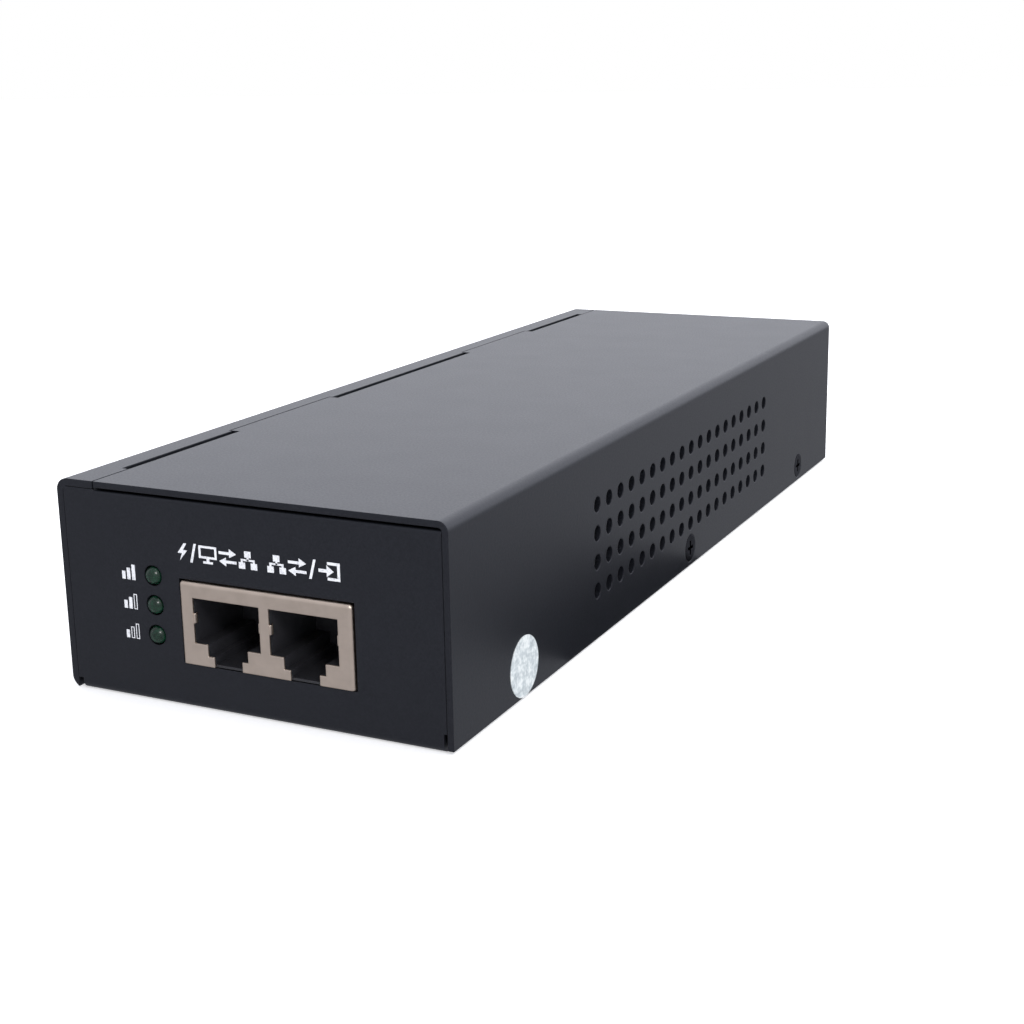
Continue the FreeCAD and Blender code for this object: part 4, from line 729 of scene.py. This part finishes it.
def stroke(points, width):
    """An outline round a line through the points, mitred at its corners."""
    half = width / 2
    left, right = [], []
    vectors = [Vector(point) for point in points]
    for index, point in enumerate(vectors):
        before = (point - vectors[index - 1]).normalized() if index else None
        after = (vectors[index + 1] - point).normalized() if index < len(vectors) - 1 else None
        before, after = before or after, after or before
        across = Vector((-(before + after).y, (before + after).x)).normalized()
        reach = half / max(across.dot(Vector((-before.y, before.x))), 0.5)
        left.append(tuple(point + across * reach))
        right.append(tuple(point - across * reach))
    return left + right[::-1]


# ---- printed marks


FRONT = -100.0
INK_DEPTH = 0.04
LAMPS = ("lamp_low", "lamp_middle", "lamp_high")
PORT_CENTRES = (-3.6, 10.3)
PORT_HALF_WIDTH = 6.1


def bolt_mark():
    return [[(0.95, 2.2), (0.0, 0.92), (0.62, 0.92), (0.28, 0), (1.42, 1.34), (0.8, 1.34),
             (1.35, 2.2)]], 1.45


def slash_mark():
    return [[(0, -0.1), (0.34, -0.1), (1.0, 2.3), (0.66, 2.3)]], 1.0


def tree_mark():
    boxes = [box_outline(0.85, 1.42, 1.75, 2.2), box_outline(0, 0, 0.9, 0.78),
             box_outline(1.7, 0, 2.6, 0.78)]
    links = [box_outline(1.16, 1.0, 1.44, 1.42), box_outline(0.31, 0.98, 2.29, 1.22),
             box_outline(0.31, 0.78, 0.59, 1.0), box_outline(2.01, 0.78, 2.29, 1.0)]
    return boxes + links, 2.6


def arrows_mark():
    """Two arrows, one each way."""
    upper = [(0, 1.45), (1.5, 1.45), (1.5, 1.1), (2.5, 1.62), (1.5, 2.2), (1.5, 1.8), (0, 1.8)]
    lower = [(2.5 - x, 2.2 - z) for x, z in upper]
    return [upper, lower], 2.5


def entry_mark():
    """An arrow that goes into an open box."""
    arrow = [(0, 0.9), (1.1, 0.9), (1.1, 0.4), (2.05, 1.1), (1.1, 1.8), (1.1, 1.3), (0, 1.3)]
    wall = [(1.2, 0), (2.9, 0), (2.9, 2.2), (1.2, 2.2), (1.2, 1.86), (2.54, 1.86),
            (2.54, 0.34), (1.2, 0.34)]
    return [arrow, wall], 2.9


def screen_mark():
    """A display on its foot."""
    frame_parts = [box_outline(0, 0.62, 0.3, 2.2), box_outline(2.3, 0.62, 2.6, 2.2),
                   box_outline(0.3, 1.92, 2.3, 2.2), box_outline(0.3, 0.62, 2.3, 0.9)]
    return frame_parts + [box_outline(1.1, 0.28, 1.5, 0.62), box_outline(0.6, 0, 2.0, 0.28)], 2.6


def front_marks():
    """Small printed pictures above the two sockets and level bars beside the lamps."""
    marks = Shape(WHITE_INK)

    def put(polygons, x, z, scale=1.0):
        for polygon in polygons:
            outline = [(x + u * scale, z + v * scale) for u, v in polygon]
            marks.prism(outline, -0.02, INK_DEPTH, "-Y", (0, FRONT, 0))

    baseline, scale, gap = 24.05, 1.27, 0.42
    for x, line in (
        (-12.1, (bolt_mark, slash_mark, screen_mark, arrows_mark, tree_mark)),
        (4.3, (tree_mark, arrows_mark, slash_mark, entry_mark)),
    ):
        for mark in line:
            polygons, width = mark()
            put(polygons, x, baseline, scale)
            x += width * scale + gap
    for level, lamp in enumerate(LAMPS, start=1):
        low, high = box_mm(lamp)
        centre = (low.z + high.z) / 2
        for bar in range(3):
            width, height = 0.64, 1.3 + 0.6 * bar
            filled = [box_outline(0, 0, width, height)]
            put(filled if bar < level else frame_outline(width, height, 0.13),
                -23.2 + 0.96 * bar, centre - 1.15)
    marks.finish("front_marks")


def label_rules():
    """Blank ruled form on the silver label underneath."""
    low, high = box_mm("rating_label")
    margin, width = 2, 0.35
    left, right = low.x + margin, high.x - margin
    front, rear = low.y + margin, high.y - margin
    rules = Shape(BLACK_INK)

    def line(*corners):
        rules.prism(box_outline(*corners), low.z - 0.02, low.z + 0.02)

    for y in (front, rear - width):
        line(left, y, right, y + width)
    for x in (left, right - width):
        line(x, front + width, x + width, rear - width)
    for share in (0.16, 0.32, 0.48, 0.64, 0.8):
        y = front + (rear - front) * share
        line(left + 3, y, right - 3, y + 0.25)
    rules.finish("label_rules")


# ---- outside details


def shield_springs():
    """Bowed grounding leaves at the sides of both openings."""
    springs = Shape(NICKEL)
    bow = ((0.15, -0.3), (-0.16, -0.22), (-0.28, 0.1), (-0.18, 0.4), (0.1, 0.7))
    for centre in PORT_CENTRES:
        for side in (-1, 1):
            edge = centre + side * PORT_HALF_WIDTH
            leaf = [(edge + side * out, FRONT + depth) for out, depth in bow]
            springs.prism(stroke(leaf, 0.2), 14.2, 15.8)
    springs.finish("shield_springs", slot="nickel_shield", bevel=0.06)


def lamp_lenses():
    """Each lamp: a domed lens over a small reflector cup on its post."""
    for name in LAMPS:
        low, high = box_mm(name)
        x, z = (low.x + high.x) / 2, (low.z + high.z) / 2
        rear, length, radius = high.y, high.y - low.y, (high.x - low.x) / 2
        lens = Shape(LENS)
        crown = arc_points(0, length - radius, radius, 0, 90, 9)
        lens.lathe([(0, 0), (radius, 0), *crown], (x, rear, z), "-Y", 36)
        lens.finish(name + "_lens", slot="green_lens", replaces=[name], crease=60)
        cup = Shape(TIN)
        cup.lathe([(0.12, 2.6), (0.62, 3.5), (0.72, 3.5), (0.3, 2.5)], (x + 0.2, rear, z + 0.1),
                  "-Y", 20)
        for offset, reach in ((0.2, 2.7), (-0.6, 3.2)):
            cup.tube([(x + offset, rear - depth, z + 0.1) for depth in (0.4, reach)], 0.2)
        cup.finish(name + "_cup", slot="tinned_lead")


# ---- inside details


def squared(value):
    """Push a sine or cosine towards a square wave."""
    return math.copysign(abs(value) ** 0.45, value)


def choke_turns():
    """Wire wound round each half of the ring core, with its ends led down to the board."""
    turns = Shape(COPPER)
    centre = Vector((8, 50, 19.8))
    count, steps, wire = 9, 18, 0.55
    for side in (1, -1):
        path = []
        for step in range(count * steps + 1):
            turn = step / steps
            around = math.radians(-66 + 132 * turn / count)
            wrap = math.tau * turn
            radial = 7.5 + squared(math.cos(wrap)) * 2.7
            across = squared(math.sin(wrap)) * 4.72
            path.append(centre + Vector((
                side * math.cos(around) * radial, across, math.sin(around) * radial)))
        turns.tube(path, wire, 8)
        for across in (-4.7, 4.7):
            foot = Vector((8 + side * 5, 50 + across, 0))
            turns.tube([foot + Vector((-side * 0.6, 0, 11.4)), foot + Vector((0, 0, 9.8)),
                        foot + Vector((0, 0, 6.2))], 0.45, 8)
    turns.finish("choke_turns", slot="copper_wire", replaces=["choke_windings"], crease=70)


def drum_turns():
    coil = Shape(COPPER)
    x, y, low, high, wire = 4, -25, 9.7, 18.7, 0.45
    count, steps = 9, 28
    path = []
    for step in range(count * steps + 1):
        angle = math.tau * step / steps
        level = low + wire + (high - low - 2 * wire) * step / (count * steps)
        path.append((x + 5.5 * math.cos(angle), y + 5.5 * math.sin(angle), level))
    coil.tube(path, wire, 8)
    coil.lathe(box_outline(3.2, low + 0.1, 5.2, high - 0.1), (x, y, 0))
    coil.finish("drum_turns", slot="copper_wire", replaces=["output_choke_winding"], crease=70)


def winding_wrap():
    """Taped winding: rounded corners and a slight belly between the flanges."""
    wrap = Shape(TAPE)
    low, high = box_mm("transformer_winding")
    rings = []
    for step in range(9):
        share = step / 8
        inset = 0.3 - 0.3 * math.sin(math.pi * share)
        level = low.z + (high.z - low.z) * share
        outline = round_box(low.x + inset, low.y + inset, high.x - inset, high.y - inset, 3.0, 6)
        rings.append([(x, y, level) for x, y in outline])
    wrap.rings(rings)
    wrap.finish("winding_wrap", slot="yellow_tape", replaces=["transformer_winding"], crease=50)
    band = Shape(TAPE)
    low, high = box_mm("transformer_core")
    for layer in range(2):
        reach = 0.06 + 0.07 * layer
        inner = round_box(low.x, low.z, high.x, high.z, 0.1, 3)
        outer = round_box(low.x - reach, low.z - reach, high.x + reach, high.z + reach, 0.3, 3)
        near, far = 9.6 + 0.5 * layer, 18.4 - 0.5 * layer
        rings = []
        for (ix, iz), (ox, oz) in zip(inner, outer):
            rings.append([(ix, near, iz), (ox, near, oz), (ox, far, oz), (ix, far, iz)])
        band.rings(rings, closed=True)
    band.finish("core_band", slot="yellow_tape")


DISC_FOOT = 9.1


def dipped_disc(shape, coat, x, y, radius, thickness, gap, along):
    """A dipped disc on edge with run-down coating on its two leads."""
    middle = DISC_FOOT + radius
    centre = (x, y - thickness / 2, middle)
    if along == "X":
        centre = (x - thickness / 2, y, middle)
    shape.paint(coat)
    half = [(radius * 0.62, 0.0), (radius * 0.82, 0.12 * thickness),
            (radius * 0.95, 0.28 * thickness), (radius, 0.5 * thickness)]
    profile = [(0, 0), *half] + [(r, thickness - h) for r, h in half[-2::-1]] + [(0, thickness)]
    shape.lathe(profile, centre, along, 36)
    for side in (-1, 1):
        px, py = (x, y + side * gap / 2) if along == "X" else (x + side * gap / 2, y)
        reach = middle - math.sqrt(max(radius ** 2 - (gap / 2) ** 2, 1.0))
        shape.paint(coat)
        shape.lathe([(0, 1.2), (0.85, 1.0), (0.72, 0.3), (0.48, -1.3), (0, -1.5)],
                    (px, py, reach), "Z", 16)
        shape.paint(TIN)
        shape.tube([(px, py, reach + 0.4), (px, py, 6.0)], 0.36, 8)


def dipped_parts():
    for name, node, coat, slot, discs in (
        ("varistor_body", "varistor", BLUE_DIP, "blue_dip", [(-5, 62, 5.0, 4.0, 7.5, "Y")]),
        ("thermistor_body", "thermistor", BLACK_DIP, "black_dip", [(-19, 64, 4.5, 3.6, 5.0, "Y")]),
        ("safety_capacitor_bodies", "safety_capacitors", ORANGE_DIP, "orange_dip",
         [(27, 54, 4.0, 2.8, 7.5, "X"), (-14, -4, 4.0, 2.8, 7.5, "Y")]),
    ):
        shape = Shape(coat)
        for disc in discs:
            dipped_disc(shape, coat, *disc)
        shape.finish(name, slot=slot, replaces=[node])


def can_end(shape, place, along, radius, sleeve_finish):
    """Rolled sleeve edge, dished metal end and its scored cross."""
    shape.paint(sleeve_finish)
    roll = [(radius - 0.45 + 0.44 * math.cos(angle), 0.3 * math.sin(angle))
            for angle in (math.tau * step / 10 for step in range(10))]
    shape.lathe(roll, place, along, 48)
    shape.paint(CAN_METAL)
    inner = radius - 0.7
    shape.lathe(box_outline(0, 0.02, inner, 0.07), place, along, 48)
    groove = radius * 0.035
    first = math.degrees(math.asin(groove / (inner - 0.3)))
    for quarter in range(4):
        turn = math.radians(45 + 90 * quarter)
        cosine, sine = math.cos(turn), math.sin(turn)
        sector = [(groove, groove), *arc_points(0, 0, inner - 0.3, first, 90 - first, 10)]
        turned = [(u * cosine - v * sine, u * sine + v * cosine) for u, v in sector]
        shape.prism(turned, 0.06, 0.16, along, place)


def sleeve_stripe(shape, place, along, radius, low, high, start):
    """The lighter band along the sleeve that marks one lead, with short dashes on it."""
    sweep = math.radians(46)
    skin = box_outline(radius + 0.005, low, radius + 0.03, high)
    shape.paint(SLEEVE_INK)
    shape.lathe(skin, place, along, 10, math.radians(start), sweep)
    shape.paint(BLACK_INK)
    for number in range(3):
        level = low + (high - low) * (0.2 + 0.3 * number)
        dash = box_outline(radius + 0.02, level - 1.3, radius + 0.05, level + 1.3)
        shape.lathe(dash, place, along, 4, math.radians(start + 19), math.radians(8))


def capacitor_trim():
    small = Shape(GREEN_SLEEVE)
    for number in (1, 2, 3):
        low, high = box_mm(f"output_capacitor_{number}")
        x, y = (low.x + high.x) / 2, (low.y + high.y) / 2
        can_end(small, (x, y, high.z), "Z", 5.0, GREEN_SLEEVE)
        sleeve_stripe(small, (x, y, 0), "Z", 5.0, 11.5, 27.4, 20 + 70 * number)
    small.finish("small_can_trim", slot="green_sleeve", crease=40)
    big = Shape(BLACK_SLEEVE)
    can_end(big, (-21, 2.0, 16.8), "-Y", 9.0, BLACK_SLEEVE)
    sleeve_stripe(big, (-21, 0, 16.8), "Y", 9.0, 2.6, 30.0, 15)
    big.finish("bulk_can_trim", slot="black_sleeve", crease=40)


def fuse_link():
    link = Shape(TIN)
    sag = [(9 + step, 62, 11.5 - 0.25 * math.sin(math.pi * step / 10)) for step in range(11)]
    link.tube(sag, 0.11, 6)
    link.finish("fuse_link", slot="tinned_lead")


def blade_sleeves():
    """Clear-cut black shrink sleeves over the soldered inlet tabs."""
    sleeves = Shape(BLACK_DIP)
    for x, z in ((-7, 15.5), (7, 15.5), (0, 19.5)):
        rings = []
        for y, half_x, half_z in ((84.6, 1.35, 2.35), (82.0, 1.4, 2.4), (80.2, 1.3, 2.0),
                                  (79.0, 1.25, 1.5), (77.2, 1.15, 1.15), (75.6, 1.12, 1.12)):
            outline = round_box(x - half_x, z - half_z, x + half_x, z + half_z,
                                min(half_x, half_z) * 0.9, 4)
            rings.append([(u, y, v) for u, v in outline])
        sleeves.rings(rings)
    sleeves.finish("tab_sleeves", crease=60)


def glue_beads():
    """Uneven beads of silicone along the large parts."""
    draw = random.Random(7)
    beads = Shape(GLUE)
    for x, y, reach_x, reach_y, height in (
        (-11.6, 18, 1.6, 7.0, 3.0), (-30.2, 20, 1.2, 6.0, 2.4), (-18.8, -21, 1.8, 2.6, 3.6),
        (-25, -27.6, 2.6, 1.7, 3.4), (-9.5, 54, 1.5, 3.4, 2.6),
    ):
        rings = []
        for step in range(5):
            share = math.sin(math.pi * (step + 0.35) / 8.7)
            ring = []
            for turn in range(16):
                angle = math.tau * turn / 16
                jitter = 1 + draw.uniform(-0.1, 0.1)
                level = BOARD_TOP - 0.05 + height * (1 - share)
                width = math.sqrt(max(1 - (1 - share) ** 2, 0.03))
                ring.append((x + reach_x * width * math.cos(angle) * jitter,
                             y + reach_y * width * math.sin(angle) * jitter, level))
            rings.append(ring)
        beads.rings(rings[::-1])
    beads.finish("glue_beads", crease=80)


# ---- circuit board


def row(x, y, count, gap, along="X"):
    for index in range(count):
        offset = (index - (count - 1) / 2) * gap
        yield (x + offset, y) if along == "X" else (x, y + offset)


def lead_places():
    """Where a lead comes through the board."""
    rows = (
        (-5, 62, 2, 7.5, "X"), (-19, 64, 2, 5.0, "X"), (27, 54, 2, 7.5, "Y"),
        (-14, -4, 2, 7.5, "X"), (-18, 54, 2, 15, "X"), (-19, 42, 4, 5.08, "X"),
        (-21, 37, 2, 10, "X"), (20.4, 36, 3, 2.54, "Y"), (20.4, -26, 3, 2.54, "Y"),
        (4, 2.4, 5, 4, "X"), (4, 25.6, 5, 4, "X"), (-25, -21, 2, 5, "X"),
        (-13, -21, 2, 5, "X"), (-25, -34, 2, 5, "X"), (4, -25, 2, 8, "X"),
        (8, 45.3, 2, 10, "X"), (8, 54.7, 2, 10, "X"), (0, 72.0, 2, 14, "X"),
    )
    for place in rows:
        yield from row(*place)


def solder_pads():
    """Bright rings and small fillets of solder where leads enter the board."""
    pads = Shape(TIN)
    for x, y in lead_places():
        pads.lathe([(0, 0.0), (0.98, 0.0), (0.95, 0.05), (0.62, 0.12), (0.45, 0.5), (0, 0.55)],
                   (x, y, BOARD_TOP), "Z", 20)
    for x in (-27.9, 26.9):
        for y in (-90, -8, 68):
            pads.lathe([(2.9, 0), (3.6, 0), (3.55, 0.05), (2.95, 0.05)], (x, y, BOARD_TOP),
                       "Z", 36)
    for name, count, pitch in (
        ("power_controller", 8, 1.2), ("supply_controller", 4, 1.27), ("optocoupler", 2, 2.54),
    ):
        low, high = box_mm(name)
        middle = (low.x + high.x) / 2
        for y in (low.y - 0.15, high.y + 0.15):
            for x, _ in row(middle, y, count, pitch):
                pads.prism(round_box(x - pitch * 0.28, y - 0.5, x + pitch * 0.28, y + 0.5,
                                     0.12, 2), BOARD_TOP, BOARD_TOP + 0.06)
    pads.finish("solder_pads", slot="tinned_lead", crease=50)


def part_ends():
    """Bright end caps of the small surface parts, and their solder."""
    ends = Shape(TIN)
    places = [(-8 + 3.2 * column, -53 - 3.4 * line) for column in range(7) for line in range(3)]
    places += [(-16 + 3 * column, -12) for column in range(2)]
    for x, y in places:
        for side in (-1, 1):
            for inner, outer, half, tall in ((0.62, 1.03, 0.66, 0.64), (0.9, 1.4, 0.7, 0.07)):
                near, far = sorted((x + side * inner, x + side * outer))
                ends.prism(box_outline(near, y - half, far, y + half), BOARD_TOP, BOARD_TOP + tall)
    ends.finish("part_ends", slot="tinned_lead", bevel=0.05)


def board_tracks():
    """Copper under the resist: wide mains and output runs, narrow signal runs."""
    tracks = Shape(MASKED_COPPER)

    def run(points, width):
        tracks.prism(stroke(points, width), BOARD_TOP - 0.02, BOARD_TOP + 0.035)

    run([(7, 72), (7, 66), (5, 64), (5, 62)], 3.4)
    run([(-7, 72), (-7, 67), (-8.75, 65), (-8.75, 62)], 3.4)
    run([(23, 62), (26, 59), (27, 57.8)], 2.8)
    run([(23, 60), (17, 56), (13, 54.7)], 2.6)
    run([(-8.75, 62), (-8.75, 58), (-6, 55), (3, 54.7)], 3.0)
    run([(-16.5, 64), (-12, 66), (-9, 66)], 2.4)
    run([(3, 45.3), (-4, 45.3), (-8, 44), (-11.4, 42)], 3.0)
    run([(13, 45.3), (13, 42), (10, 39), (-6, 38.6), (-11, 39.4), (-16.46, 40)], 2.4)
    run([(-26.6, 42), (-28.5, 40), (-28.5, 38.5), (-26, 37)], 3.0)
    run([(-21.54, 42), (-19, 39.5), (-16, 37)], 2.6)
    run([(-16, 37), (-9, 34), (-6, 29), (-4, 25.6)], 2.6)
    run([(12, 25.6), (15, 29), (17, 34), (20.4, 36)], 3.0)
    run([(20.4, 38.54), (16, 40), (14, 37), (4, 33), (-8, 31)], 1.6)
    run([(4, 25.6), (4, 30), (0, 34)], 1.0)
    run([(-8.5, -6), (-12, -1), (-17.75, -4)], 1.0)
    run([(12, 2.4), (15, -2), (17, -16), (20.4, -23.46)], 3.4)
    run([(8, 2.4), (10, -1), (10, -12), (8, -18), (8, -25)], 2.8)
    run([(0, -25), (-4, -25), (-7, -22), (-10.5, -21)], 3.2)
    run([(-15.5, -21), (-19, -21), (-22.5, -21)], 3.2)
    run([(-27.5, -21), (-29, -24), (-29, -31), (-27.5, -34)], 2.8)
    run([(-22.5, -34), (-18, -38), (-14, -44), (-16, -54), (-19, -58)], 2.4)
    run([(20.4, -28.54), (16, -32), (14, -40), (9, -44)], 2.0)
    for index in range(8):
        x = -0.2 + 1.2 * index
        run([(x, -50.6), (x, -52), (-8 + 2.7 * index, -64 + 0.4 * index),
             (-11.3 + 3.6 * index, -66)], 0.32)
    for index in range(10):
        x = -11.8 + 1.4 * index
        run([(x, -78), (x, -80), (-10 + 1.25 * index, -84)], 0.4)
        run([(x + 18, -78), (x + 18, -80), (4.2 + 1.25 * index, -84)], 0.4)
    for index in range(3):
        run([(-17.2 + 0.5 * index, -88), (-17.2 - 1.5 * index, -77 - 3 * index),
             (-17.2 - 1.5 * index, -60 + index), (-10, -56.4 - 3.4 * index)], 0.35)
    for index in range(7):
        x = -8 + 3.2 * index
        run([(x - 1.2, -56.4), (x - 1.2, -53)], 0.3)
        run([(x + 1.2, -59.8), (x + 1.2, -56.4)], 0.3)
    tracks.finish("board_tracks", slot="board_laminate", crease=30)


def board_print():
    """White outlines of the parts and the dashed line between mains and low voltage."""
    lines = Shape(BOARD_INK)
    low_z, high_z, width = BOARD_TOP + 0.03, BOARD_TOP + 0.06, 0.2

    def loop(inner, outer):
        rings = []
        for (ix, iy), (ox, oy) in zip(inner, outer):
            rings.append([(ix, iy, low_z), (ox, oy, low_z), (ox, oy, high_z), (ix, iy, high_z)])
        lines.rings(rings, closed=True)

    def frame_round(left, low, right, high):
        loop(round_box(left, low, right, high, 0.5, 3),
             round_box(left - width, low - width, right + width, high + width, 0.5 + width, 3))

    def circle_round(x, y, radius):
        loop(circle(x, y, radius, 40), circle(x, y, radius + width, 40))

    for number in (1, 2, 3):
        low, high = box_mm(f"output_capacitor_{number}")
        circle_round((low.x + high.x) / 2, (low.y + high.y) / 2, 5.4)
    circle_round(4, -25, 7.4)
    for node, grow in (
        ("bulk_capacitor", 0.4), ("film_capacitor", 0.5), ("bridge_rectifier", 0.6),
        ("transformer_former", 0.8), ("fuse_caps", 0.7), ("varistor", 0.8),
        ("thermistor", 0.8), ("power_controller", 0.9), ("supply_controller", 0.8),
        ("optocoupler", 0.8), ("filter_inductor", 0.6), ("jack_shield", 0.5),
        ("choke_core", 1.2),
    ):
        low, high = box_mm(node)
        front = max(low.y - grow, -98.0)
        frame_round(low.x - grow, front, high.x + grow, high.y + grow)
    for x, y in ((-5.5, -72), (12.5, -72)):
        frame_round(x - 8.6, y - 6.6, x + 8.6, y + 6.6)
    for step in range(12):
        x = -30.5 + 5.2 * step
        if not -9 < x < 17:
            lines.prism(box_outline(x, -1.9, x + 3.0, -1.55), low_z, high_z)
    for x, y in ((-2.0, -51.2), (-9.2, -12.6), (2.6, -12.8), (-14.8, -78.3), (3.2, -78.3)):
        lines.prism(circle(x, y, 0.4, 18), low_z, high_z)
    lines.finish("board_print", crease=30)


def chip_marks():
    """Printed dots at the first leg of each package."""
    dots = Shape(BOARD_INK)
    for x, y, top, radius in (
        (0.2, -48.2, 9.25, 0.35), (-7.6, -10.2, 9.15, 0.28), (4.3, -10.2, 10.85, 0.3),
        (-12.2, -75.6, 13.25, 0.5), (5.8, -75.6, 13.25, 0.5),
    ):
        dots.prism(circle(x, y, radius, 18), top - 0.02, top + 0.02)
    dots.finish("chip_marks", crease=30)


dress_nodes()
front_marks()
label_rules()
shield_springs()
lamp_lenses()
choke_turns()
drum_turns()
winding_wrap()
dipped_parts()
capacitor_trim()
fuse_link()
blade_sleeves()
glue_beads()
solder_pads()
part_ends()
board_tracks()
board_print()
chip_marks()
